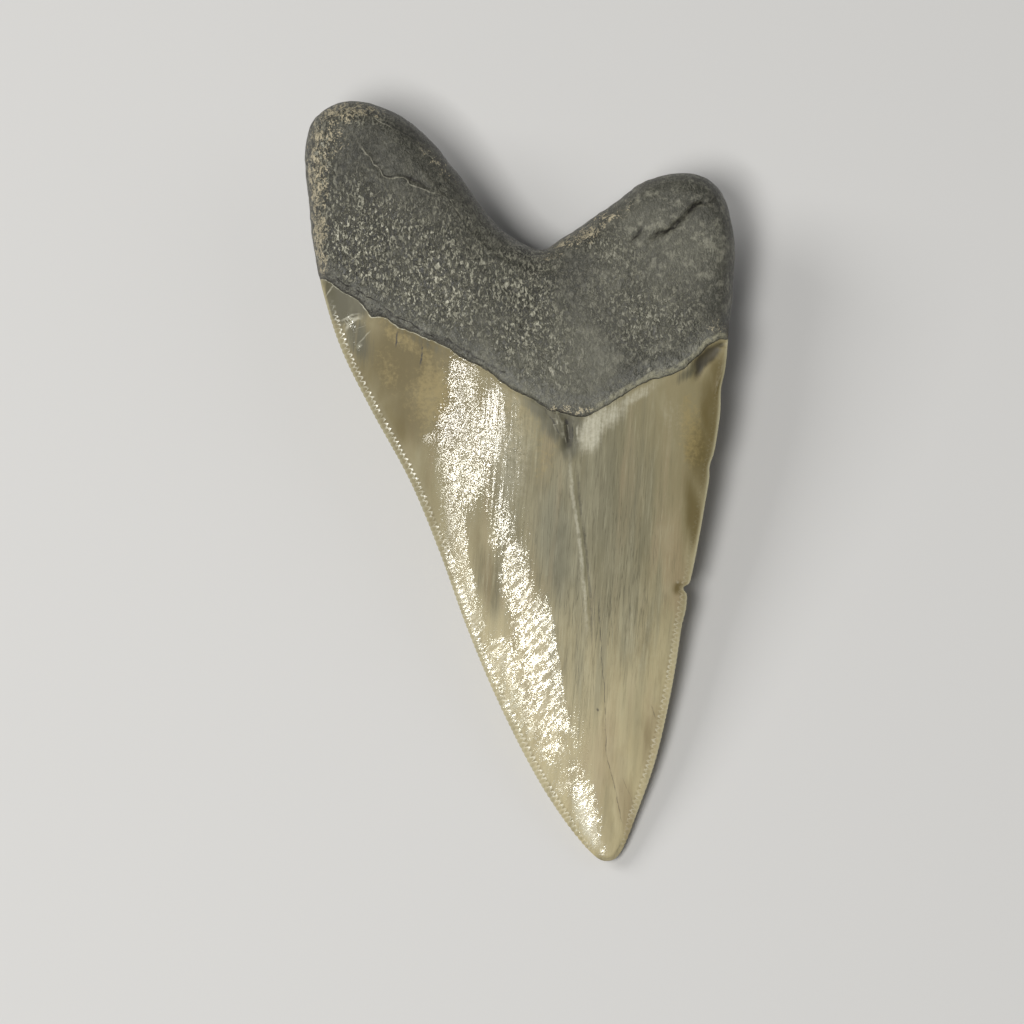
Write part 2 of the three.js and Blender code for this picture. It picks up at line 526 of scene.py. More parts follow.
# The step round the flaked scar on the left lobe, with painted light along its raised edge.
LOBE_FLAKE = SurfaceLine((
    (-24.0, 49.7), (-22.1, 47.6), (-20.8, 45.9), (-19.8, 45.0), (-18.0, 44.9), (-16.4, 44.4),
    (-14.9, 43.6), (-13.3, 42.8), (-12.3, 42.8), (-11.2, 41.9), (-10.0, 40.7), (-8.9, 39.7)),
    0.08, 0.0, 0.8, 0.75)
# Cracks and shadowed grooves. After its points, each line gives its half width, depth, taper and
# shade, in the order of SurfaceLine.
DARK_LINES = (
    # painted shade in the crevice on the right lobe
    SurfaceLine(((18.7, 35.2), (20.8, 36.9), (22.1, 37.1), (23.5, 38.2), (24.8, 39.8), (26.1, 40.9),
                 (27.6, 41.5), (29.3, 41.8)), 0.26, 0.9, 2.5),
    SurfaceLine(((16.3, 35.3), (17.6, 36.9), (18.6, 38.0)), 0.22, 0.5, 1.2),
    # short cracks under the enamel line, on the left
    SurfaceLine(((-18.2, 22.3), (-18.3, 21.0), (-18.7, 19.6)), 0.13, 0.03, 0.8, 1.1),
    SurfaceLine(((-14.6, 21.0), (-14.7, 18.6), (-15.0, 16.4)), 0.13, 0.03, 1.4, 1.1),
    SurfaceLine(((-17.2, 20.2), (-17.8, 18.4)), 0.06, 0.0, 1.0, 0.4),
    # painted shade beside the long ridge, on its right, and the crack from its end to the tip
    SurfaceLine(((8.3, 3.2), (8.9, -3.0), (9.8, -10.0), (10.5, -17.0), (10.7, -24.8)), 0.20, 0.05,
                4.0, 0.45),
    SurfaceLine(((11.5, -16.6), (12.0, -22.6), (12.2, -27.4), (12.6, -30.8), (12.8, -36.1),
                 (12.9, -41.2), (13.5, -43.6), (14.0, -45.3), (14.6, -48.0), (15.3, -51.6)), 0.06,
                0.03, 2.0, 0.7),
    # the scar on the left lobe, with painted shade along it
    SurfaceLine(((-22.6, 48.3), (-21.5, 46.8), (-20.4, 45.6), (-19.0, 45.4), (-16.8, 45.2),
                 (-15.0, 44.4), (-13.3, 43.5)), 0.16, 0.25, 2.0),
    SurfaceLine(((-20.6, 53.8), (-19.0, 53.0), (-16.9, 51.9), (-15.4, 50.6)), 0.12, 0.2, 1.5),
    # a crack and painted shade along the root's lip, above the enamel line
    SurfaceLine(((-29.0, 30.9), (-25.5, 28.9), (-21.5, 26.6), (-19.0, 24.4), (-16.4, 23.3),
                 (-14.5, 21.9), (-11.0, 20.0)), 0.12, 0.14, 2.0, 1.1),
    SurfaceLine(((-12.5, 21.7), (-9.5, 20.0), (-6.4, 18.1), (-3.5, 16.3), (-0.5, 14.5)), 0.15, 0.14,
                2.0, 0.9),
    # small marks and hairlines on the crown
    SurfaceLine(((15.2, -44.5), (16.6, -47.5), (17.0, -49.5)), 0.06, 0.0, 1.0, 0.4),
    SurfaceLine(((19.5, -33.5), (20.4, -36.0)), 0.10, 0.0, 1.0, 0.5),
    SurfaceLine(((5.6, 11.0), (5.9, 8.6)), 0.14, 0.1, 0.8, 0.8),
    SurfaceLine(((11.5, -34.2), (11.7, -34.7)), 0.16, 0.0, 0.1, 0.9),
    SurfaceLine(((14.6, 4.0), (14.9, -6.0)), 0.05, 0.0, 3.0, 0.4),
    SurfaceLine(((8.2, -19.0), (8.9, -31.0)), 0.05, 0.0, 3.0, 0.5),
    SurfaceLine(((13.4, -14.0), (13.9, -26.0)), 0.05, 0.0, 3.0, 0.45),
    # painted shade in the fold under the middle of the enamel line
    SurfaceLine(((6.8, 9.6), (7.4, 6.9), (7.6, 4.6)), 0.26, 0.25, 1.0, 1.0),
    SurfaceLine(((8.2, 9.0), (7.9, 7.0), (7.8, 5.4)), 0.14, 0.12, 1.0, 0.9),
    SurfaceLine(((3.4, 10.9), (5.0, 8.6), (6.2, 6.0)), 0.10, 0.10, 1.0, 0.8),
)
# Ridges, chips, the lit sides of folds and glint streaks, their pale partly painted light: a depth
# below zero stands out.
PALE_LINES = (
    # painted light on the crest of the long ridge, and on the raised edges of the scar on the left
    # lobe
    SurfaceLine(((7.3, 4.8), (7.8, -2.0), (8.8, -8.3), (9.7, -17.5), (10.2, -24.0)), 0.26, -0.12,
                5.0, 0.66),
    LOBE_FLAKE,
    SurfaceLine(((-22.2, 55.0), (-20.8, 53.5), (-19.0, 52.5)), 0.08, 0.0, 1.0, 0.7),
    SurfaceLine(((-15.4, 50.2), (-13.6, 48.5), (-11.8, 46.8)), 0.08, 0.0, 1.0, 0.8),
    # chips on the root, and painted glint streaks on the cracked shoulder on the left
    SurfaceLine(((4.6, 16.9), (4.8, 16.2), (5.0, 15.2)), 0.22, -0.1, 0.3, 1.5),
    SurfaceLine(((19.1, 16.2), (19.7, 16.1)), 0.28, -0.1, 0.2, 1.2),
    SurfaceLine(((-27.9, 29.1), (-29.2, 27.3)), 0.12, -0.1, 0.3, 0.8),
    SurfaceLine(((-23.4, 24.4), (-25.2, 23.6), (-26.3, 22.1)), 0.28, -0.1, 0.8, 1.0),
    SurfaceLine(((-23.6, 24.6), (-25.2, 24.6), (-27.0, 23.5)), 0.16, -0.1, 0.8, 0.8),
    SurfaceLine(((-22.3, 22.4), (-23.2, 21.3), (-24.4, 20.2)), 0.10, -0.05, 0.8, 0.6),
    SurfaceLine(((-23.7, 20.3), (-24.6, 19.7)), 0.32, -0.1, 0.3, 1.2),
    # the lit sides of the fold
    SurfaceLine(((6.4, 8.9), (6.6, 6.6), (6.8, 5.4)), 0.10, -0.1, 0.6, 0.5),
    SurfaceLine(((4.7, 9.2), (5.3, 7.2)), 0.10, -0.08, 0.6, 0.5),
    SurfaceLine(((5.2, 9.8), (5.6, 8.0), (6.0, 6.4)), 0.11, -0.10, 1.2, 0.8),
    SurfaceLine(((8.8, 8.7), (8.5, 7.0), (8.7, 5.4)), 0.13, -0.10, 1.2, 0.8),
    # the right edge and its nick
    SurfaceLine(((30.9, 19.4), (30.0, 15.4), (29.3, 12.7)), 0.20, -0.15, 1.5, 0.35),
    SurfaceLine(((23.2, -15.2), (23.9, -15.4)), 0.22, -0.1, 0.3, 0.7),
)
# The polished streaks, whose glints are also painted pale into the colour.
GLOSSY = patches(
    (-8.2, 14.6, 2.7, 5.0, 0.0, 0.82), (-8.3, 4.6, 4.1, 8.3, 2.0),
    (-13.3, 6.2, 0.9, 1.8, -60.0, 0.7), (-9.7, -8.5, 1.7, 9.0, 6.0),
    (-8.6, -14.5, 1.5, 6.0, 14.0), (-7.9, -19.5, 1.9, 5.0, 20.0),
    (-5.4, -25.3, 0.9, 3.0, 25.0, 0.8), (-2.6, -7.6, 2.1, 4.4, 0.0, 0.62),
    (-0.5, -15.0, 2.2, 6.2, 8.0), (2.6, -22.5, 3.5, 5.0, 10.0), (3.6, -29.5, 3.9, 6.5, 8.0),
    (-1.9, -28.6, 3.3, 5.0, 28.0, 1.0), (0.4, -33.5, 3.0, 4.4, 28.0, 1.0),
    (3.9, -35.2, 3.6, 3.8, 0.0, 1.0), (4.6, -39.6, 2.4, 3.6, 10.0, 0.68),
    (8.0, -37.0, 1.0, 4.4, 4.0, 0.42), (7.3, -44.9, 1.5, 3.2, -28.0, 0.60),
    (9.9, -49.2, 1.7, 4.9, 8.0), (11.3, -53.8, 0.9, 2.4, 28.0, 0.9),
    (-25.4, 23.6, 1.5, 0.6, -60.0, 0.6), (-24.4, 19.9, 1.1, 0.4, -55.0, 0.6),
)
# The streaks stay on the left of this line.
GLOSS_LIMIT = SurfaceLine(((4.0, -14.5), (5.2, -22.0), (5.9, -26.5), (6.9, -32.5), (7.1, -35.5)))
# Where the root's skin is crinkled.
GRAINY = patches(
    (-13.0, 30.0, 8.0, 9.0, 20.0, 1.0), (-24.0, 35.0, 6.0, 7.5, 0.0, 1.1),
    (-29.8, 47.0, 1.8, 8.0, 0.0, 0.8), (-25.0, 55.0, 5.5, 1.6, 0.0, 0.6),
    (0.0, 24.0, 6.0, 10.0, 10.0, 0.85), (19.5, 24.0, 8.0, 5.5, -30.0, 0.48),
    (10.0, 36.5, 8.0, 2.5, -30.0, 0.42),
)
# What else marks the flat face, by the name of the measure that the mesh carries.
STAINS = {
    # scattered dots of polish between the streaks
    "veil": patches(
        (-4.2, 9.0, 2.6, 8.0, 0.0, 0.9), (-1.2, 4.5, 2.4, 9.0, 0.0, 0.6),
        (-3.8, -2.5, 2.6, 5.0, 0.0, 0.7), (0.6, -9.0, 1.6, 6.0, 0.0, 0.5),
        (8.6, -38.0, 2.0, 6.0, 4.0, 0.5), (8.0, -45.0, 2.4, 5.0, -20.0, 0.6),
    ),
    # dark, clear amber at the shoulders and down the right edge
    "amber": patches(
        (-17.0, 17.5, 8.0, 6.5, 0.0, 1.0), (-11.0, 10.0, 3.5, 6.0, 0.0, 0.7),
        (-15.5, 20.6, 2.2, 7.0, 62.0, 1.0), (-16.5, 10.5, 4.5, 5.5, 0.0, 0.8),
        (30.0, 13.0, 1.3, 5.5, 3.0, 1.1), (28.0, 3.4, 2.8, 6.0, 8.0, 0.95),
        (28.7, 8.8, 1.7, 6.0, 4.0, 1.1), (28.5, 1.8, 1.6, 5.0, 8.0, 1.1),
        (26.4, -7.1, 1.5, 6.5, 8.0, 1.0), (23.6, -16.2, 0.9, 1.0, 0.0, 0.8),
        (22.0, -22.0, 2.0, 8.0, 9.0, 0.22), (-4.6, -14.5, 1.9, 5.5, 10.0, 0.6),
        (17.5, -38.0, 2.2, 8.0, 14.0, 0.35),
    ),
    # tan down the right side, near the tip and between the streaks
    "tan": patches(
        (22.5, -13.0, 2.6, 8.0, 8.0, 0.9), (19.0, -37.0, 2.4, 9.0, 14.0, 0.5),
        (15.7, -48.6, 1.3, 4.0, 10.0, 1.0), (12.5, -42.5, 3.0, 6.5, 4.0, 0.7),
        (17.0, -4.0, 2.0, 7.0, 4.0, 0.3), (-4.0, -16.0, 1.6, 4.0, 10.0, 0.6),
    ),
    # a golden cast on the upper crown
    "gold": patches(
        (-13.2, 12.7, 3.2, 5.0, 0.0, 0.8), (-16.5, 20.2, 1.2, 5.5, 55.0, 0.6),
        (-20.0, 16.0, 2.2, 4.0, 20.0, 0.3), (-1.5, 8.0, 3.0, 7.0, 0.0, 0.5),
        (3.0, 5.0, 2.0, 5.0, 0.0, 0.4), (25.6, 7.5, 1.8, 5.0, 6.0, 0.6),
    ),
    # the grey, fibrous middle and right of the crown
    "grey": patches(
        (12.0, -6.0, 9.0, 20.0, 4.0, 0.9), (8.0, -26.0, 4.0, 12.0, 8.0, 0.4),
        (0.0, -2.0, 5.0, 12.0, 4.0, 0.5), (5.5, -9.0, 3.2, 10.0, 4.0, 1.25),
        (-4.2, -15.0, 2.2, 5.0, 10.0, 0.5), (20.0, -6.0, 4.0, 10.0, 6.0, 0.25),
    ),
    # shadow in the fold, under the enamel line and at the left shoulder
    "shade": patches(
        (6.4, 8.4, 3.0, 2.6, 0.0, 1.05), (7.3, 5.6, 1.5, 2.6, 0.0, 0.95),
        (4.4, 10.0, 1.7, 4.2, 60.0, 1.0), (-26.6, 27.0, 3.8, 3.4, 0.0, 1.25),
        (-24.4, 21.4, 1.8, 4.0, 20.0, 0.7), (-15.8, 21.2, 0.7, 6.8, 62.0, 0.35),
        (25.5, 16.2, 0.9, 3.0, -55.0, 0.6), (5.6, -9.5, 2.4, 8.0, 4.0, 0.30),
    ),
    # pale patches: a few are the enamel's own pale places, most are painted sheen standing in for
    # soft highlights and glints
    "pale_and_sheen": patches(
        (10.6, 7.0, 1.9, 3.2, -14.0, 0.95), (12.6, 9.0, 1.8, 4.2, -56.0, 0.75),
        (17.0, 12.2, 0.9, 4.5, -58.0, 0.65), (-2.5, 12.6, 1.3, 4.5, 55.0, 0.5),
        (-8.9, -19.0, 1.1, 6.5, 22.0, 0.7), (23.0, 9.5, 2.2, 3.6, 0.0, 0.35),
        (-1.6, 4.0, 3.4, 9.0, 0.0, 0.60), (9.8, -50.5, 1.5, 4.8, 18.0, 0.9),
        (-9.9, -8.0, 1.3, 8.0, 6.0, 0.25), (18.5, -24.0, 3.0, 8.0, 8.0, 0.3),
    ),
    # sandy crust, mostly round the root's border
    "crust": patches(
        (-30.4, 35.0, 1.3, 6.5, 0.0, 0.9), (-30.6, 45.0, 1.6, 8.0, 0.0, 0.75),
        (-26.5, 55.4, 5.5, 1.6, 0.0, 0.7), (-28.5, 51.0, 2.4, 4.0, -20.0, 0.45),
        (-12.0, 47.0, 0.8, 3.8, 45.0, 0.45), (11.5, 38.2, 1.5, 6.5, -58.0, 0.38),
        (6.0, 35.4, 1.2, 3.5, -62.0, 0.6), (9.8, 36.6, 0.8, 1.6, -70.0, 0.9),
        (13.6, 39.4, 0.8, 1.4, -60.0, 0.8), (29.6, 23.0, 1.6, 1.2, 0.0, 0.4),
        (7.6, 10.3, 4.6, 0.8, 0.0, 0.60),
    ),
    # painted shade in the hollows of the fold and of the pocket at the right shoulder, where the
    # surface also dips
    "hollow_shade": patches(
        (7.3, 6.8, 0.7, 2.4, -6.0, 0.75), (28.1, 18.3, 0.8, 2.4, -46.0, 1.3),
        (26.9, 16.6, 0.6, 1.6, -20.0, 0.9), (29.7, 19.9, 0.4, 1.6, -66.0, 0.8),
    ),
    # where the root is paler
    "pale_root": patches(
        (4.0, 17.0, 9.0, 6.5, 0.0, 1.2), (-12.0, 27.5, 9.0, 6.5, 25.0, 0.6),
        (20.0, 24.0, 9.0, 5.0, -25.0, 0.45), (22.0, 34.0, 9.0, 7.0, -20.0, 0.55),
        (-23.0, 27.0, 5.0, 1.6, 28.0, 0.6),
    ),
}


@dataclass(frozen=True)
class Wear:
    """A dip in the right cutting edge, where it has chipped or worn; below zero it stands out."""

    y: float
    half_length: float
    depth: float


EDGE_WEAR = (Wear(13.5, 2.2, 0.35), Wear(2.0, 1.4, 0.32), Wear(-16.4, 0.6, 0.8),
             Wear(-19.5, 1.5, -0.2))


@dataclass(frozen=True)
class Serration:
    """The fine saw of the cutting edges: a row of small rounded lobes."""

    pitch: float = 0.78
    lobe_length: float = 1.25
    lobe_height: float = 0.08
    notch_depth: float = 0.08
    lobe_width: float = 0.92
    left_strength: float = 1.0
    right_strength: float = 0.7
    wander: float = 0.30
    wander_runs: Point = (2.9, 1.7)
    worn_share: float = 0.1
    fresh_below: float = -26.0
    worn_above: float = -10.0

    def across(self, distance: Array) -> Array:
        """Find the lobes and notches, whose spacing wanders a little.

        Args:
            distance: Places round the outline, in millimetres.

        Returns:
            0 in the middle of a lobe and 1 in a notch.
        """
        slow, quick = self.wander_runs
        wander = self.wander * np.sin(distance / slow) * np.sin(distance / quick + 1.0)
        return np.abs((distance / self.pitch + wander) % 1.0 - 0.5) * 2.0

    def lobe(self, distance: Array, edge_distance: Array) -> Array:
        """Return 0 at the root of a lobe, rising to 1 round its rim."""
        return np.hypot(self.lobe_width * self.across(distance),
                        edge_distance / self.lobe_length)

    def strength(self, side: Array, row: Array, y: Array) -> Array:
        """Work out how fresh the saw is: it is worn off the upper part of the right edge.

        Args:
            side: Places across, -1 to 1.
            row: Places along, 0 to 2.
            y: The same places along, in millimetres.

        Returns:
            The strength at each place, 0 where the edge is smooth.
        """
        unworn = 1.0 - smoothstep(y, self.fresh_below, self.worn_above)
        right = self.right_strength * lerp(self.worn_share, 1.0, unworn)
        fresh = np.where(side < 0, self.left_strength, right)
        return fresh * smoothstep(row, 0.0, 0.012) * (1.0 - smoothstep(row, 0.93, 0.985))


# ------------------------------------------------------------------ the piece


@dataclass(frozen=True)
class Relief:
    """How far the grain, steps and dips of the surface stand out, and how wide they are."""

    grain: float = 0.16
    lumps: float = 0.14
    swells: float = 0.25
    waves: float = 0.06
    groove_depth: float = 0.14
    groove_place: float = 0.10
    groove_width: float = 0.22
    line_width: float = 0.3
    flake_step: float = 0.30
    flake_run: float = 4.0
    hollow_dip: float = 0.45
    inner_grain: float = 0.5


@dataclass
class FossilTooth:
    """The one piece: builds the mesh, works the surface and places it as it rests."""

    form: ToothForm = field(default_factory=ToothForm)
    serration: Serration = field(default_factory=Serration)
    heights: Relief = field(default_factory=Relief)
    columns: int = 116
    crown_rows: int = 200
    root_rows: int = 92
    border_rings: int = 5
    edge_cuts: int = 3
    on_side: float = 0.9999
    crease_angle: float = 60.0
    saw_reach: float = 2.5
    far_off: float = 9.0
    widest_offset: float = 20.0
    inner_grain_tone: float = 0.4

    def net(self) -> bpy.types.Object:
        """Model a box with a fine net of facets, finer along the two cutting edges.

        Returns:
            A closed piece, -1 to 1 each way, whose sides stand for the border of the tooth.
        """
        rows = self.crown_rows + self.root_rows
        bpy.ops.object.select_all(action="DESELECT")
        bpy.ops.mesh.primitive_grid_add(x_subdivisions=self.columns, y_subdivisions=rows, size=2,
                                        location=(0, 0, 1))
        piece = bpy.context.object
        piece.name = "fossil_tooth"
        piece.data.transform(Matrix.Translation((0, 0, 1)))
        piece.location = (0, 0, 0)
        bpy.ops.object.mode_set(mode="EDIT")
        bpy.ops.mesh.select_mode(type="EDGE")
        bpy.ops.mesh.select_all(action="SELECT")
        bpy.ops.mesh.extrude_region_move(TRANSFORM_OT_translate={"value": (0, 0, -2)})
        self.select_edges(piece, lambda a, b: abs(a.z - b.z) > 1.0)
        bpy.ops.mesh.subdivide(number_cuts=2 * self.border_rings - 1)
        enamel_end = 2.0 * self.crown_rows / rows - 1.0

        def on_cutting_edge(a: Vector, b: Vector) -> bool:
            """Say whether an edge runs along a side of the box, below the enamel's end."""
            beside = min(abs(a.x), abs(b.x)) > self.on_side and abs(a.x - b.x) < 0.1
            return beside and abs(a.y - b.y) > 1e-5 and max(a.y, b.y) < enamel_end + 1e-4

        self.select_edges(piece, on_cutting_edge)
        bpy.ops.mesh.subdivide(number_cuts=self.edge_cuts)
        bpy.ops.mesh.select_all(action="SELECT")
        bpy.ops.mesh.normals_make_consistent(inside=False)
        bpy.ops.object.mode_set(mode="OBJECT")
        return piece

    @staticmethod
    def select_edges(piece: bpy.types.Object, chosen: Callable[[Vector, Vector], bool]) -> None:
        """Select the edges whose two ends pass a test, in edit mode.

        Args:
            piece: The piece being edited.
            chosen: Takes the places of an edge's ends and says whether it is wanted.
        """
        net = bmesh.from_edit_mesh(piece.data)
        for element in (*net.faces, *net.verts):
            element.select = False
        for edge in net.edges:
            edge.select = chosen(edge.verts[0].co, edge.verts[1].co)
        bmesh.update_edit_mesh(piece.data)

    def places(self, net: Array) -> tuple[Array, Array, Array]:
        """Read each point's place on the tooth from its place on the net.

        Args:
            net: The points of the net, one row each.

        Returns:
            Their sides, rows and layers.
        """
        rows = self.crown_rows + self.root_rows
        count = np.round((net[:, 1] + 1.0) / 2.0 * rows, 4)
        row = np.where(count <= self.crown_rows, count / self.crown_rows,
                       1.0 + (count - self.crown_rows) / self.root_rows)
        side, layer = (np.where(np.abs(along) > self.on_side, np.sign(along), along)
                       for along in (net[:, 0], net[:, 2]))
        return side, row, layer

    def build(self) -> bpy.types.Object:
        """Model the tooth and leave it at rest, in the row's frame.

        Returns:
            The piece, without its finish.
        """
        piece = self.net()
        mesh = piece.data
        size = len(mesh.vertices) * 3
        net = np.empty(size)
        mesh.vertices.foreach_get("co", net)
        skin = self.form.skin(*self.places(net.reshape(-1, 3)))
        mesh.vertices.foreach_set("co", skin.points.ravel())
        mesh.update()
        normals = np.empty(size)
        mesh.vertices.foreach_get("normal", normals)
        worked = skin.points + normals.reshape(-1, 3) * self.relief(skin)[:, None]
        worked[:, :2] += self.edge_shift(skin)
        mesh.vertices.foreach_set("co", self.at_rest(worked).ravel())
        self.mark(mesh, skin)
        mesh.update()
        piece.select_set(True)
        bpy.ops.object.shade_smooth_by_angle(angle=math.radians(self.crease_angle))
        return piece

    def along_edge(self, skin: Skin) -> tuple[Array, Array]:
        """Find each point's place along the saw of the nearer edge.

        Args:
            skin: The tooth's surface.

        Returns:
            The place on the outline, from 0 to 1, and the saw's strength there.
        """
        station = self.form.plan.border_station(np.where(skin.side < 0, -1.0, 1.0), skin.row)
        strength = self.serration.strength(skin.side, skin.row, skin.points[:, 1])
        return station, strength

    def relief(self, skin: Skin) -> Array:
        """Work out how far the surface stands out: grain, enamel step, cracks and ribs.

        Args:
            skin: The tooth's smooth surface.

        Returns:
            Millimetres along the normal, one for each point.
        """
        x, y = skin.x, skin.y
        outer = skin.outer
        heights = self.heights
        root = smoothstep(skin.root_side, 0.0, 1.2)
        grainy = covered(GRAINY, x, y) * outer + heights.inner_grain * (1.0 - outer)
        grain = noise_field(skin.points, (0.9, 1.5, 1.2), 3.1)
        lumps = noise_field(skin.points, (4.0, 6.0, 6.0), 7.7)
        swells = noise_field(skin.points, (14.0, 14.0, 14.0), 11.3, 2)
        collar = smoothstep(skin.root_side, 0.5, 3.5)
        relief = root * (heights.grain * grain * grainy * collar + heights.lumps * lumps
                         + heights.swells * swells)

        waves = noise_field(skin.points, (3.2, 9.0, 5.0), 19.0, 2)
        inside = smoothstep(skin.edge_distance, 0.6, 2.2)
        relief += (1.0 - root) * inside * heights.waves * waves

        relief -= outer * heights.groove_depth * bell(skin.root_side - heights.groove_place,
                                                      heights.groove_width)
        for line in (*DARK_LINES, *PALE_LINES):
            offset, strength = line.offsets(x, y)
            width = max(line.half_width, heights.line_width)
            relief -= outer * line.depth * strength * bell(offset, width)
        flake, strength = LOBE_FLAKE.offsets(x, y)
        step = smoothstep(flake, 0.0, 0.5) * np.exp(-np.maximum(flake, 0.0) / heights.flake_run)
        relief -= outer * heights.flake_step * strength * step
        relief -= outer * heights.hollow_dip * covered(STAINS["hollow_shade"], x, y)

        station, fresh = self.along_edge(skin)
        lobe = self.serration.lobe(station * self.form.plan.outline.length, skin.edge_distance)
        raised = np.clip(1.0 - lobe ** 3, -0.4, 1.0) * bell(skin.edge_distance, 1.7)
        relief += fresh * self.serration.lobe_height * raised * (0.3 + 0.7 * outer)
        return relief

    def edge_shift(self, skin: Skin) -> Array:
        """Work out how far points near the cutting edges move in the plane of the flat face.

        Args:
            skin: The tooth's smooth surface.

        Returns:
            A shift in x and y for each point, into the tooth.
        """
        station, fresh = self.along_edge(skin)
        across = self.serration.across(station * self.form.plan.outline.length)
        notch = fresh * (smoothstep(across, 0.3, 1.0) - 0.3) * self.serration.notch_depth
        shift = notch * bell(skin.edge_distance, 0.6)
        for wear in EDGE_WEAR:
            dip = wear.depth * bell(skin.points[:, 1] - wear.y, wear.half_length)
            shift += np.where(skin.side > 0, dip * bell(skin.edge_distance, 1.2), 0.0)
        return self.form.plan.inward(station) * shift[:, None]

    def at_rest(self, points: Array) -> Array:
        """Pitch the tooth to its rest and place it over the CAD node's box.

        Args:
            points: Places in millimetres, in the plane of the flat face.

        Returns:
            The same places in metres, in the row's frame, none of them under the floor.
        """
        turn = np.array(Matrix.Rotation(REST_PITCH, 3, "X"))
        turned = points * MM @ turn.T
        turned += np.array(self.offset())
        turned[:, 2] = np.maximum(turned[:, 2], 0.0)
        return turned

    def offset(self) -> Vector:
        """Find the origin of the face plane: over the box's middle, tip and seat touching it.

        Returns:
            Its place in the row's frame, in metres.
        """
        plan = self.form.plan.outline.path
        low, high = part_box(NODE)
        shift_x = (low.x + high.x) / 2 - (plan[:, 0].min() + plan[:, 0].max()) / 2 * MM
        seat = Vector((0, self.form.boss[1], -self.form.seat_depth)) * MM
        seat.rotate(Matrix.Rotation(REST_PITCH, 3, "X"))
        tip = Vector((0, plan[:, 1].min(), 0)) * MM
        tip.rotate(Matrix.Rotation(REST_PITCH, 3, "X"))
        return Vector((shift_x, low.y - tip.y, low.z - seat.z))

    def mark(self, mesh: bpy.types.Mesh, skin: Skin) -> None:
        """Leave on the mesh the measures that the finish follows.

        Args:
            mesh: The tooth's mesh.
            skin: What its points know of their places.
        """
        x, y, outer = skin.x, skin.y, skin.outer
        station, fresh = self.along_edge(skin)
        lobe = self.serration.lobe(station * self.form.plan.outline.length, skin.edge_distance)
        limit, strength = GLOSS_LIMIT.offsets(x, y)
        glossy = covered(GLOSSY, x, y) * (1.0 - strength * smoothstep(limit, -0.3, 0.2))
        measures = {
            "root_side": skin.root_side,
            "edge_distance": skin.edge_distance,
            "outer_face": outer,
            "lobe": lobe,
            "fresh": fresh * outer * (skin.edge_distance < self.saw_reach),
            "glossy": glossy * outer,
            "grainy": covered(GRAINY, x, y) * outer + self.inner_grain_tone * (1.0 - outer),
            **{name: covered(spots, x, y) * outer for name, spots in STAINS.items()},
            **self.line_measures("dark", DARK_LINES, skin),
            **self.line_measures("pale", PALE_LINES, skin),
        }
        for name, values in measures.items():
            attribute = mesh.attributes.new(name, "FLOAT", "POINT")
            attribute.data.foreach_set("value", np.asarray(values, np.float32))

    def line_measures(self, name: str, lines: tuple[SurfaceLine, ...],
                      skin: Skin) -> dict[str, Array]:
        """Measure each point from the nearest of some lines.

        Args:
            name: What the lines are called.
            lines: The lines.
            skin: What the points know of their places.

        Returns:
            The distance to the line, in its half widths, and how strong the line is there.
        """
        outer = skin.outer
        nearest = np.full(outer.shape, self.far_off)
        scaled = np.full(outer.shape, self.far_off)
        mark = np.zeros(outer.shape)
        for line in lines:
            offset, strength = line.offsets(skin.x, skin.y)
            near = np.abs(offset) < np.abs(nearest)
            window = 1.0 - smoothstep(np.abs(offset), 0.9, 1.8)
            widths = np.clip(offset / line.half_width, -self.widest_offset, self.widest_offset)
            mark = np.where(near, strength * window * line.shade * outer, mark)
            scaled = np.where(near, widths, scaled)
            nearest = np.where(near, offset, nearest)
        return {f"{name}_offset": scaled, f"{name}_strength": mark}


# ------------------------------------------------------------------ shader maths


class Signal:
    """A number that a shader works out, with Python's arithmetic."""

    def __init__(self, paint: "Paint", socket: bpy.types.NodeSocket) -> None:
        """Wrap a node's output socket."""
        self.paint = paint
        self.socket = socket

    def math(self, operation: str, *others: "Signal | float", swap: bool = False) -> "Signal":
        """Join this number with others by a Math node.

        Args:
            operation: What the node does.
            others: The other terms, in order.
            swap: Whether the terms are taken in the opposite order.

        Returns:
            The node's result.
        """
        terms = [self, *others]
        if swap:
            terms.reverse()
        return self.paint.add("ShaderNodeMath", {"operation": operation}, dict(enumerate(terms)))

    def __add__(self, other: "Signal | float") -> "Signal":
        """Add."""
        return self.math("ADD", other)

    __radd__ = __add__

    def __sub__(self, other: "Signal | float") -> "Signal":
        """Subtract."""
        return self.math("SUBTRACT", other)

    def __rsub__(self, other: "Signal | float") -> "Signal":
        """Subtract this from a number."""
        return self.math("SUBTRACT", other, swap=True)

    def __mul__(self, other: "Signal | float") -> "Signal":
        """Multiply."""
        return self.math("MULTIPLY", other)

    __rmul__ = __mul__

    def __abs__(self) -> "Signal":
        """Drop the sign."""
        return self.math("ABSOLUTE")

    def ramp(self, low: float, high: float, start: float = 0.0, end: float = 1.0) -> "Signal":
        """Rise smoothly from start to end as this number goes from low to high."""
        sockets = {"Value": self, "From Min": low, "From Max": high, "To Min": start, "To Max": end}
        return self.paint.add("ShaderNodeMapRange", {"interpolation_type": "SMOOTHSTEP"}, sockets)

    def swing(self, reach: float) -> "Signal":
        """Move a noise from about a half to about zero, and widen it."""
        return (self - 0.5) * reach

    def stripe(self, middle: float, core: float, reach: float) -> "Signal":
        """Return 1 within `core` of the middle, falling smoothly to 0 at `reach` from it."""
        return 1.0 - abs(self - middle).ramp(core, reach)


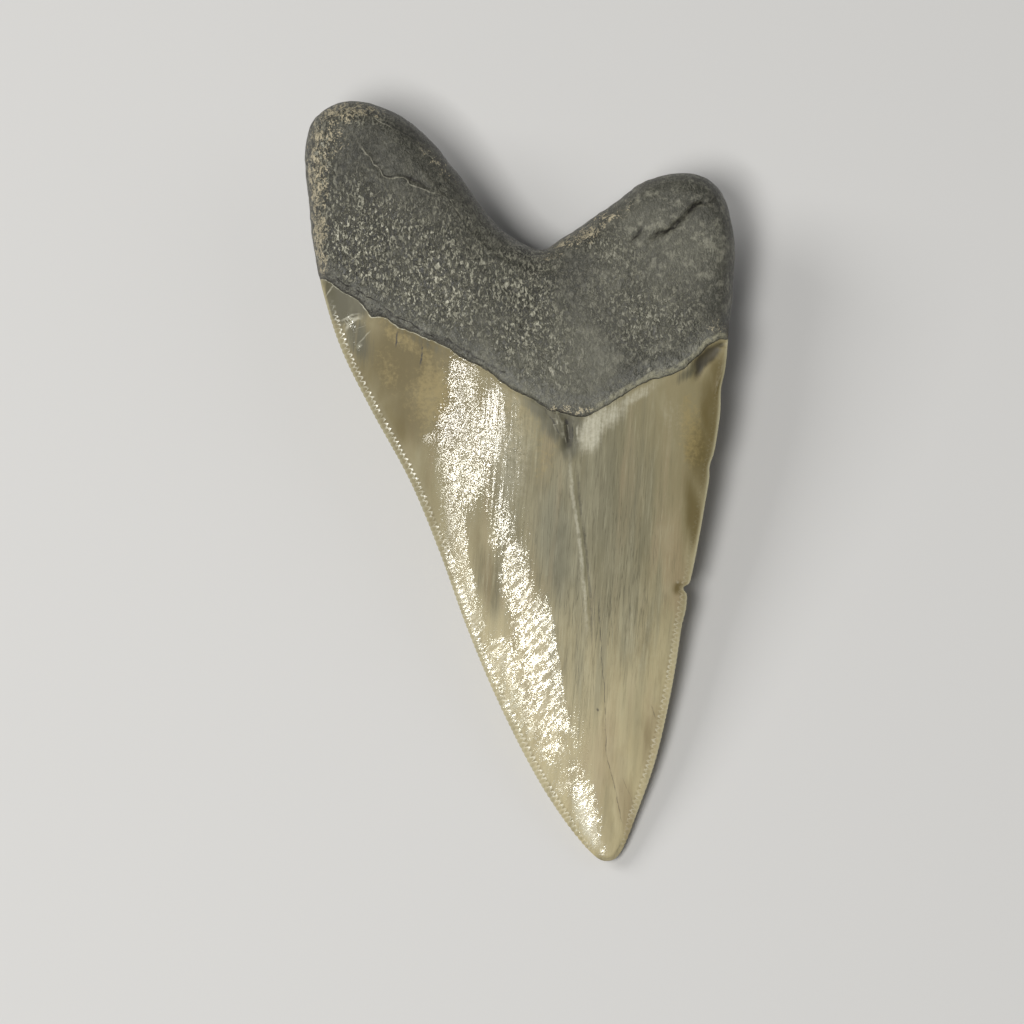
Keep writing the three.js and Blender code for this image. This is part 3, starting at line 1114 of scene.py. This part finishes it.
class Paint:
    """A material's nodes, added one at a time."""

    def __init__(self, name: str) -> None:
        """Start a material with no nodes.

        Args:
            name: What it is called.
        """
        self.material = bpy.data.materials.new(name)
        self.material.use_nodes = True
        self.tree = self.material.node_tree
        self.tree.nodes.clear()

    def add(self, kind: str, settings: dict | None = None, sockets: dict | None = None,
            output: int = 0) -> Signal | None:
        """Add a node.

        Args:
            kind: The node's type.
            settings: Its properties, set before its sockets.
            sockets: Values or signals for its inputs, by name or number.
            output: Which of its outputs to return.

        Returns:
            The chosen output, or nothing where the node has none.
        """
        node = self.tree.nodes.new(kind)
        for name, value in (settings or {}).items():
            setattr(node, name, value)
        for name, value in (sockets or {}).items():
            if isinstance(value, Signal):
                self.tree.links.new(value.socket, node.inputs[name])
            else:
                node.inputs[name].default_value = value
        outputs = node.outputs
        return Signal(self, outputs[output]) if len(outputs) else None

    def measure(self, name: str) -> Signal:
        """Read a measure that the mesh carries."""
        return self.add("ShaderNodeAttribute", {"attribute_name": name}, output=2)

    def mix(self, share: Signal | float, start: Signal | Colour, end: Signal | Colour) -> Signal:
        """Blend two colours."""
        ends = [c if isinstance(c, Signal) else (*c, 1.0) for c in (start, end)]
        return self.add("ShaderNodeMix", {"data_type": "RGBA", "clamp_factor": True},
                        {0: share, 6: ends[0], 7: ends[1]}, output=2)

    def washes(self, colour: Signal, *coats: tuple[Signal, Colour]) -> Signal:
        """Lay tones over a colour, one after the other, each by its share.

        Args:
            colour: What lies under them.
            coats: The share and tone of each, the lowest first.

        Returns:
            The colour with all of them on it.
        """
        for share, tone in coats:
            colour = self.mix(share, colour, tone)
        return colour

    def turned(self, vector: Signal, degrees: float) -> Signal:
        """Turn a vector about z, so that a grain along y leans its top to the right."""
        return self.add("ShaderNodeMapping", {"vector_type": "POINT"}, {
            "Vector": vector, "Rotation": (0.0, 0.0, math.radians(degrees))})

    def noise(self, vector: Signal, scale: float, detail: float = 3.0, rough: float = 0.5,
              distortion: float = 0.0) -> Signal:
        """Add smooth noise, about 0.3 to 0.7."""
        return self.add("ShaderNodeTexNoise", {}, {
            "Vector": vector, "Scale": scale, "Detail": detail, "Roughness": rough,
            "Distortion": distortion})

    def grain(self, vector: Signal, scale: tuple[float, float, float], detail: float = 3.0,
              rough: float = 0.5, distortion: float = 0.0) -> Signal:
        """Add smooth noise that is longer one way than another.

        Args:
            vector: Where the noise is read.
            scale: How many features there are in a millimetre along x, y and z.
            detail: How many finer layers are added.
            rough: How strong the finer layers are.
            distortion: How far the noise is pulled out of shape.

        Returns:
            The noise, about 0.3 to 0.7.
        """
        stretched = self.add("ShaderNodeVectorMath", {"operation": "MULTIPLY"},
                             {0: vector, 1: scale})
        return self.noise(stretched, 1.0, detail, rough, distortion)


# ------------------------------------------------------------------ finishes

# Shared tones. The chalk tone is partly painted highlight, in sheen, glints, lobe rims and lit
# edges, and partly pale chips; the near black is painted shade in hollows and under the root's lip,
# and the dark of cracks.
SATIN: Colour = (0.420, 0.400, 0.270)
CHALK_AND_HIGHLIGHT: Colour = (0.620, 0.600, 0.480)
SHADE_AND_CRACK: Colour = (0.014, 0.012, 0.009)


class ToothPaint(Paint):
    """The tooth's material, with the places and measures that its finishes share."""

    def __init__(self, offset: Vector) -> None:
        """Read places in millimetres, in the plane of the flat face.

        Args:
            offset: Where the origin of the face plane lies in the row's frame.
        """
        super().__init__("fossil")
        place = self.add("ShaderNodeTexCoord", output=3)
        self.face = self.add("ShaderNodeMapping", {"vector_type": "TEXTURE"}, {
            "Vector": place, "Location": offset, "Rotation": (REST_PITCH, 0.0, 0.0),
            "Scale": (MM, MM, MM)})
        self.across = self.add("ShaderNodeSeparateXYZ", {}, {0: self.face})
        self.along = self.add("ShaderNodeSeparateXYZ", {}, {0: self.face}, output=1)
        self.outer = self.measure("outer_face")
        self.root_side = self.measure("root_side")

    def stain(self, name: str, body: Point, border: Point, *patterns: Signal) -> Signal:
        """Break up a patch with patterns, and keep it within the patch.

        Args:
            name: The patch's strength, as the mesh carries it.
            body: The strengths, with the patterns added, where the stain starts and is full.
            border: The strengths of the bare patch between which it fades in.
            patterns: What is added to the strength.

        Returns:
            How strong the stain is, 0 to 1.
        """
        strength = self.measure(name)
        broken = strength
        for pattern in patterns:
            broken = broken + pattern
        return broken.ramp(*body) * strength.ramp(*border)


@dataclass(frozen=True)
class Coat:
    """One finish of the tooth, to be joined with the other."""

    colour: Signal
    rough: Signal
    height: Signal


@dataclass(frozen=True)
class EnamelGrain:
    """The patterns that the enamel's stains, saw and polish share."""

    lengthwise: Signal
    fibres: Signal
    threads: Signal
    clouds: Signal
    mottle: Signal
    grit: Signal
    grey: Signal
    low: Signal
    fibrous: Signal


@dataclass(frozen=True)
class EnamelFinish:
    """Mineral-stained enamel: olive to khaki, with a fine grain along the crown."""

    olive: Colour = (0.235, 0.200, 0.100)
    khaki: Colour = (0.458, 0.396, 0.228)
    grey: Colour = (0.150, 0.140, 0.082)
    brown: Colour = (0.180, 0.138, 0.055)
    tan: Colour = (0.300, 0.232, 0.130)
    amber: Colour = (0.104, 0.075, 0.012)
    gold: Colour = (0.310, 0.240, 0.090)
    shade: Colour = (0.066, 0.062, 0.034)
    dark_fibre: Colour = (0.100, 0.090, 0.046)
    glint: Colour = (0.800, 0.800, 0.700)
    grain_lean: float = 4.0
    polish_lean: float = 38.0
    dull: float = 0.60
    polish: float = 0.45
    rim_polish: float = 0.38

    def grain(self, paint: ToothPaint) -> EnamelGrain:
        """Make the patterns that the rest of the enamel is made from.

        Args:
            paint: The tooth's material.

        Returns:
            The patterns, and how grey, how low on the crown and how fibrous each place is.
        """
        lengthwise = paint.turned(paint.face, self.grain_lean)
        clouds = paint.grain(lengthwise, (0.34, 0.08, 0.2), 4.0, 0.6)
        grey = paint.measure("grey")
        low = (paint.along + clouds.swing(24.0)).ramp(2.0, -34.0)
        fibrous = grey.ramp(0.0, 0.35, 0.22, 1.0) + low * 0.30 + (1.0 - paint.outer) * 0.45
        return EnamelGrain(
            lengthwise=lengthwise,
            fibres=paint.grain(lengthwise, (2.2, 0.12, 1.0), 5.0, 0.7),
            threads=paint.grain(lengthwise, (5.0, 0.30, 1.0), 3.0, 0.6),
            clouds=clouds,
            mottle=paint.noise(paint.face, 1.5, 4.0, 0.7),
            grit=paint.noise(paint.face, 5.2, 2.0, 0.6),
            grey=grey,
            low=low,
            fibrous=fibrous)

    def stained(self, paint: ToothPaint, grain: EnamelGrain) -> Signal:
        """Colour the enamel with its mineral stains, and with painted shadow in the fold and under
        the enamel line.

        Args:
            paint: The tooth's material.
            grain: The enamel's patterns.

        Returns:
            The colour.
        """
        clouds, mottle = grain.clouds, grain.mottle
        bands = paint.grain(grain.lengthwise, (0.55, 0.045, 0.3))
        broad = paint.grain(grain.lengthwise, (0.30, 0.12, 0.2))
        tan = (paint.measure("tan") * 0.8 + bands.swing(2.4)).ramp(0.05, 0.95)
        amber = paint.stain("amber", (0.05, 1.05), (0.0, 0.2), clouds.swing(0.5))
        gold = paint.stain("gold", (0.15, 0.95), (0.0, 0.2), mottle.swing(1.8), clouds - 0.5)
        # Painted shadow in the fold, under the enamel line and at the left shoulder.
        shade = paint.stain("shade", (0.10, 0.80), (0.0, 0.2), grain.fibres.swing(1.2))
        return paint.washes(
            paint.mix(grain.low, self.olive, self.khaki),
            (clouds.ramp(0.48, 0.68) * 0.38, self.brown),
            (grain.grey * 0.85, self.grey),
            (tan * 0.60, self.tan),
            (bands.ramp(0.50, 0.36) * grain.fibrous * 0.38, self.grey),
            (amber * 0.92, self.amber),
            (gold * 0.60, self.gold),
            (shade * 0.90, self.shade),
            (broad.ramp(0.48, 0.66) * (0.16 - amber * 0.12), SATIN))

    def fibred(self, paint: ToothPaint, grain: EnamelGrain, colour: Signal) -> Signal:
        """Draw the fine grain over the stains, and pale patches that are mostly painted sheen.

        Args:
            paint: The tooth's material.
            grain: The enamel's patterns.
            colour: The stained enamel.

        Returns:
            The colour.
        """
        streaks = (grain.fibres.swing(1.2) + grain.threads.swing(0.5)) * grain.fibrous
        hairs = paint.grain(grain.lengthwise, (1.5, 0.050, 1.0), 4.0, 0.6)
        hairs = hairs.stripe(0.5, 0.0, 0.026) * grain.fibrous * streaks.ramp(0.22, -0.04)
        # Mostly painted sheen: pale patches that stand in for soft highlights and glints.
        pale_and_sheen = paint.stain("pale_and_sheen", (0.05, 1.3), (0.0, 0.80), grain.fibres.swing(1.4),
                            grain.mottle.swing(1.2))
        return paint.washes(
            colour,
            (streaks.ramp(0.0, 0.36) * 0.36, SATIN),
            ((0.0 - streaks).ramp(0.0, 0.30) * 0.42, self.dark_fibre),
            (hairs * (grain.grey.ramp(0.2, 0.8) + grain.low * 0.3) * 0.68, self.dark_fibre),
            (pale_and_sheen * 0.70, CHALK_AND_HIGHLIGHT))

    def sawn(self, paint: ToothPaint, grain: EnamelGrain, colour: Signal) -> tuple[Signal, Signal]:
        """Draw the lobes of the serration, with pale rims, partly painted highlight, and dark gaps.

        Args:
            paint: The tooth's material.
            grain: The enamel's patterns.
            colour: The enamel without its saw.

        Returns:
            The colour, and how strong the lobes' pale rims are.
        """
        fresh = paint.measure("fresh")
        from_edge = paint.measure("edge_distance")
        lobe = paint.measure("lobe") + grain.grit.swing(0.70)
        # The pale rims are partly painted highlight on the crests of the lobes.
        rims = lobe.stripe(0.86, 0.03, 0.14) * fresh
        rims = rims * paint.noise(paint.face, 0.9).ramp(0.36, 0.60, 0.20, 1.0)
        rims = rims * from_edge.ramp(0.20, 0.80, 0.20, 1.0)
        gaps = lobe.ramp(0.98, 1.15) * (1.0 - from_edge.ramp(0.8, 1.5)) * fresh
        bodies = (1.0 - lobe.ramp(0.35, 0.72)) * fresh
        worn = (1.0 - from_edge.ramp(0.10, 0.45)) * (1.0 - fresh * 0.7)
        worn = worn * paint.along.ramp(-54.0, -48.0)
        colour = paint.washes(
            colour,
            (worn * (0.25 + grain.grit * 0.4), SATIN),
            (bodies * 0.45, self.olive),
            (gaps * 0.65, self.amber),
            (rims * 0.85, CHALK_AND_HIGHLIGHT))
        return colour, rims

    def coat(self, paint: ToothPaint) -> tuple[Coat, Signal]:
        """Make the enamel, polished in the streaks, with a painted highlight where a light glints.

        Args:
            paint: The tooth's material.

        Returns:
            The enamel, and how much like a mirror it is.
        """
        grain = self.grain(paint)
        colour = self.fibred(paint, grain, self.stained(paint, grain))
        colour, rims = self.sawn(paint, grain, colour)
        along, fibres, grit = paint.along, grain.fibres, grain.grit
        slanted = paint.turned(paint.face, self.polish_lean)
        strokes = paint.grain(slanted, (2.1, 0.66, 1.0), 5.0, 0.7) - 0.5
        strokes = strokes * along.ramp(-4.0, -16.0, 0.55, 1.0)
        speckle = paint.grain(slanted, (3.8, 2.3, 3.0), 1.0)
        flow = fibres.swing(0.8) + strokes * 1.3 + speckle.swing(0.6) + grit.swing(1.5)
        rifts = paint.grain(slanted, (1.0, 0.30, 0.8), 3.0, 0.6)
        rifts = rifts.ramp(0.47, 0.38) * along.ramp(-14.0, -22.0, 0.10, 0.75)
        glossy = paint.stain("glossy", (0.34, 0.62), (0.02, 0.20), flow) * (1.0 - rifts)

        # Painted highlight: the glints in the polished streaks are also mixed pale into the colour.
        gleam = (grit - 0.5) * along.ramp(-4.0, -16.0, 1.45, 1.0) + strokes * 1.3
        glints = glossy * gleam.ramp(-0.04, 0.10)
        pale = along.ramp(8.0, 0.0, 0.08, 0.26) + along.ramp(-10.0, -22.0, 0.0, 0.18)
        colour = paint.mix(glints * pale, colour, self.glint)
        mirror = along.ramp(8.0, 0.0, 0.02, 0.055) + along.ramp(-10.0, -22.0, 0.0, 0.045)

        dots = paint.stain("veil", (0.58, 0.84), (0.02, 0.20), fibres.swing(1.8), grit.swing(1.8))
        glossy = glossy * gleam.ramp(-0.18, 0.02, 0.34, 1.0) + dots * (1.0 - glossy)
        rough = self.dull - glossy * self.polish - rims * (1.0 - glossy) * self.rim_polish
        height = (fibres * 0.020 + grain.threads * 0.008) * grain.fibrous + strokes * glossy * 0.040
        height = height + speckle * glossy * 0.019 + grit * (glossy * 0.012 + 0.003)
        return Coat(colour, rough, height), glints * mirror


@dataclass(frozen=True)
class RootFinish:
    """The root: dark grey, with a crinkled skin that runs down towards the crown."""

    pit: Colour = (0.016, 0.016, 0.013)
    dark: Colour = (0.022, 0.022, 0.016)
    grey: Colour = (0.108, 0.107, 0.082)
    pale: Colour = (0.455, 0.444, 0.348)
    collar: Colour = (0.128, 0.130, 0.117)
    crust: Colour = (0.540, 0.475, 0.325)
    bourlette: Colour = (0.070, 0.062, 0.045)

    def ground(self, paint: ToothPaint) -> Signal:
        """Colour the root under its grain, darker towards the left and blotched on the right.

        Args:
            paint: The tooth's material.

        Returns:
            The colour.
        """
        tone = paint.measure("pale_root") + paint.noise(paint.face, 0.16).swing(1.2)
        blots = paint.noise(paint.face, 0.7, 4.0, 0.65).ramp(0.48, 0.66)
        return paint.washes(
            paint.mix(tone.ramp(-0.3, 0.9), self.dark, self.grey),
            (blots * paint.across.ramp(10.0, 20.0, 0.15, 0.34), self.pale),
            (paint.across.ramp(-6.0, -22.0) * 0.42, self.dark))

    def coat(self, paint: ToothPaint) -> Coat:
        """Make the root.

        Args:
            paint: The tooth's material.

        Returns:
            The root, with the height of its grain.
        """
        face, root_side = paint.face, paint.root_side
        crinkle = paint.grain(face, (1.5, 0.95, 1.2), 5.0, 0.62, 0.9)
        ridges = crinkle.stripe(0.5, 0.0, 0.04)
        specks = paint.grain(face, (2.7, 1.4, 2.1), 3.0, 0.60, 0.9)
        pits = 1.0 - specks.ramp(0.42, 0.49)
        flecks = specks.ramp(0.51, 0.565)
        wrinkles = paint.grain(face, (2.4, 1.6, 1.5), 4.0, 0.6, 1.0)
        fine = paint.noise(face, 4.5, 3.0, 0.6)
        above = root_side.ramp(0.9, 2.9)
        grain = paint.measure("grainy") * above * 0.88 + 0.12
        grain = grain * paint.noise(face, 0.22, 3.0, 0.6).ramp(0.36, 0.52, 0.55, 1.08)
        collar = root_side.stripe(1.6, 0.9, 1.9)
        collar = collar * paint.noise(face, 0.8, 5.0, 0.65).ramp(0.34, 0.58)
        crust = paint.stain("crust", (0.60, 0.82), (0.02, 0.25), fine.swing(2.4),
                            crinkle.swing(3.4))
        # The pale ridges are painted highlight on the crests of the crinkled skin; the pale flecks
        # are partly the root's own pale grains and partly painted highlight.
        colour = paint.washes(
            self.ground(paint),
            (pits * grain * 0.90, self.pit),
            (ridges * grain * 0.60, self.pale),
            (flecks * grain * 0.95, self.pale),
            (collar * wrinkles.ramp(0.38, 0.56) * 0.75, self.collar),
            (wrinkles.stripe(0.5, 0.0, 0.035) * (1.0 - above * 0.8) * 0.45, self.pale),
            (paint.measure("crust") * 0.55, self.dark),
            (crust * 0.80, self.crust),
            (root_side.stripe(1.5, 1.0, 1.6) * (1.0 - paint.outer), self.bourlette))
        rough = 0.52 - grain * 0.16 - flecks * grain * 0.06 + crust * 0.15
        height = (ridges * 0.12 + flecks * 0.24) * grain + crinkle * 0.26 + fine * 0.04
        return Coat(colour, rough, height + wrinkles * 0.12)


@dataclass(frozen=True)
class FossilFinish:
    """Enamel and root joined on one surface, with the marks that cross both."""

    enamel: EnamelFinish = field(default_factory=EnamelFinish)
    root: RootFinish = field(default_factory=RootFinish)
    border_blur: float = 0.06
    chipping: float = 0.35
    index: float = 1.55

    def dress(self, piece: bpy.types.Object, offset: Vector) -> None:
        """Give the piece its finish.

        Args:
            piece: The tooth.
            offset: Where the origin of the face plane lies in the row's frame.
        """
        paint = ToothPaint(offset)
        chips = paint.noise(paint.face, 1.3, 4.0, 0.6) - 0.5
        root_side = paint.root_side + chips * self.chipping
        root = root_side.ramp(-self.border_blur, self.border_blur)
        crown = 1.0 - root
        enamel, mirror = self.enamel.coat(paint)
        bone = self.root.coat(paint)
        colour = paint.mix(root, enamel.colour, bone.colour)
        colour = self.bordered(paint, colour, root_side)
        # Painted shade in the hollows of the fold and of the pocket at the right shoulder.
        hollow_shade = (paint.measure("hollow_shade") + chips * 0.5).ramp(0.08, 0.95)
        colour = self.lined(paint, paint.mix(hollow_shade * 0.75, colour, SHADE_AND_CRACK))
        height = enamel.height * crown + bone.height * root
        normal = paint.add("ShaderNodeBump", {}, {
            "Height": height, "Distance": MM, "Strength": 1.0})
        shader = paint.add("ShaderNodeBsdfPrincipled", {}, {
            "Base Color": colour, "Roughness": enamel.rough * crown + bone.rough * root,
            "Metallic": mirror * crown, "Normal": normal, "IOR": self.index})
        paint.add("ShaderNodeOutputMaterial", {}, {"Surface": shader})
        piece.data.materials.clear()
        piece.data.materials.append(paint.material)

    @staticmethod
    def bordered(paint: ToothPaint, colour: Signal, root_side: Signal) -> Signal:
        """Mark where the enamel ends: a dark seam and dark lip of painted shadow, and pale lips.

        Args:
            paint: The tooth's material.
            colour: The enamel and root, joined.
            root_side: How far past the border, on the root's side, each place lies.

        Returns:
            The colour.
        """
        face, across, outer = paint.face, paint.across, paint.outer
        right = across.ramp(9.0, 13.0)
        left = across.ramp(-8.0, -14.0)
        # Painted shadow: the dark seam and the dark band under the lip stand for the shade of the
        # root's lip on the enamel.
        seam = root_side.stripe(0.12, 0.0, 0.26) * outer * (1.0 - right * 0.8)
        lip = root_side.stripe(0.55, 0.2, 0.6) * right * outer
        under = root_side.stripe(0.60, 0.10, 0.65) * across.ramp(2.0, -8.0) * outer
        rim = root_side.stripe(-0.08, 0.02, 0.11) * outer
        rim = rim * paint.noise(face, 1.1).ramp(0.38, 0.60, 0.3, 1.0)
        return paint.washes(
            colour,
            (seam * (0.25 + paint.noise(face, 0.8) * 0.8), SHADE_AND_CRACK),
            (lip * paint.noise(face, 0.9).ramp(0.3, 0.6) * 0.50, SATIN),
            (under * paint.noise(face, 1.2).ramp(0.40, 0.58) * 0.55, SHADE_AND_CRACK),
            (rim * (left * 0.6 + 0.1), CHALK_AND_HIGHLIGHT))

    @staticmethod
    def lined(paint: ToothPaint, colour: Signal) -> Signal:
        """Draw the cracks and ridges, with some painted shade and light, broken up along their
        length.

        Args:
            paint: The tooth's material.
            colour: The surface without them.

        Returns:
            The colour.
        """
        wobble = paint.noise(paint.face, 2.2).swing(1.6)
        broken = paint.noise(paint.face, 0.9, 2.0).ramp(0.36, 0.56)
        for name, tone, share in (("dark", SHADE_AND_CRACK, 0.9), ("pale", CHALK_AND_HIGHLIGHT, 0.5)):
            line = 1.0 - abs(paint.measure(f"{name}_offset") + wobble).ramp(0.3, 1.5)
            line = line * paint.measure(f"{name}_strength") * (0.30 + broken * 0.70)
            colour = paint.mix(line * share, colour, tone)
        return colour


# ------------------------------------------------------------------ studio


@dataclass(frozen=True)
class Softbox:
    """A studio light, aimed at the tooth from a direction that leans from the camera's line."""

    name: str
    lean_left: float
    lean_up: float
    distance: float
    width: float
    height: float
    watts: float
    colour: Colour = (1.0, 0.985, 0.95)


@dataclass
class Studio:
    """A pale floor, soft lights and a camera square on to the flat face."""

    aim: Point = (-1.2, -4.875)
    face_level: float = -2.0
    frame_width: float = 153.6
    lens: float = 200.0
    sensor: float = 36.0
    floor_size: float = 4.0
    floor_tone: float = 0.62
    floor_rough: float = 0.8
    near_clip: float = 0.01
    room_light: float = 0.105
    lights: tuple[Softbox, ...] = (
        Softbox("strip", 12.0, -3.0, 1.10, 0.28, 0.28, 8.4),
        Softbox("side", 48.0, 30.0, 1.00, 0.50, 0.50, 4.2),
        Softbox("fill", -50.0, 30.0, 1.20, 0.80, 0.80, 1.0),
    )

    def build(self, offset: Vector) -> None:
        """Set the floor, lights and camera round the tooth.

        Args:
            offset: Where the origin of the face plane lies in the row's frame.
        """
        turn = Matrix.Rotation(REST_PITCH, 3, "X")
        target = Vector((*self.aim, self.face_level)) * MM
        target.rotate(turn)
        target += offset
        self.floor()
        for box in self.lights:
            self.light(box, target, turn)
        self.camera(target, turn)
        world = bpy.data.worlds.new("room")
        world.use_nodes = True
        background = world.node_tree.nodes["Background"]
        background.inputs["Color"].default_value = (1.0, 1.0, 1.0, 1.0)
        background.inputs["Strength"].default_value = self.room_light
        bpy.context.scene.world = world
        bpy.context.scene.view_settings.view_transform = "Standard"

    def floor(self) -> None:
        """Lay the pale floor."""
        bpy.ops.object.select_all(action="DESELECT")
        bpy.ops.mesh.primitive_plane_add(size=self.floor_size, location=(0, 0, 0))
        floor = bpy.context.object
        floor.name = "floor"
        paint = Paint("pale_floor")
        shader = paint.add("ShaderNodeBsdfPrincipled", {}, {
            "Base Color": (self.floor_tone, self.floor_tone, self.floor_tone, 1.0),
            "Roughness": self.floor_rough})
        paint.add("ShaderNodeOutputMaterial", {}, {"Surface": shader})
        floor.data.materials.append(paint.material)

    def light(self, box: Softbox, target: Vector, turn: Matrix) -> None:
        """Hang one softbox, leaning from the camera's line by two angles.

        Args:
            box: The light.
            target: Where it points.
            turn: The pitch of the tooth, which the camera's line shares.
        """
        towards = Vector((-math.tan(math.radians(box.lean_left)),
                          math.tan(math.radians(box.lean_up)), 1.0)).normalized()
        towards.rotate(turn)
        data = bpy.data.lights.new(box.name, "AREA")
        data.shape = "RECTANGLE"
        data.size = box.width
        data.size_y = box.height
        data.energy = box.watts
        data.color = box.colour
        lamp = bpy.data.objects.new(box.name, data)
        lamp.location = target + towards * box.distance
        lamp.rotation_euler = towards.to_track_quat("Z", "Y").to_euler()
        bpy.context.scene.collection.objects.link(lamp)

    def camera(self, target: Vector, turn: Matrix) -> None:
        """Set the camera square on to the flat face.

        Args:
            target: Where it points.
            turn: The pitch of the tooth.
        """
        data = bpy.data.cameras.new("camera")
        data.lens = self.lens
        data.sensor_width = self.sensor
        data.clip_start = self.near_clip
        out = Vector((0.0, 0.0, 1.0))
        out.rotate(turn)
        camera = bpy.data.objects.new("camera", data)
        camera.location = target + out * (self.frame_width * MM * self.lens / self.sensor)
        camera.rotation_euler = turn.to_euler()
        bpy.context.scene.collection.objects.link(camera)
        bpy.context.scene.camera = camera


def main() -> None:
    """Build the tooth and the studio, and log the tooth's points and faces."""
    logging.basicConfig(level=logging.INFO, format="%(name)s: %(message)s")
    tooth = FossilTooth()
    Studio().build(tooth.offset())
    piece = tooth.build()
    FossilFinish().dress(piece, tooth.offset())
    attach(piece, "root")
    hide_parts(NODE)
    LOG.info("%s: %d points, %d faces", piece.name, len(piece.data.vertices),
             len(piece.data.polygons))


if __name__ == "__main__":
    main()
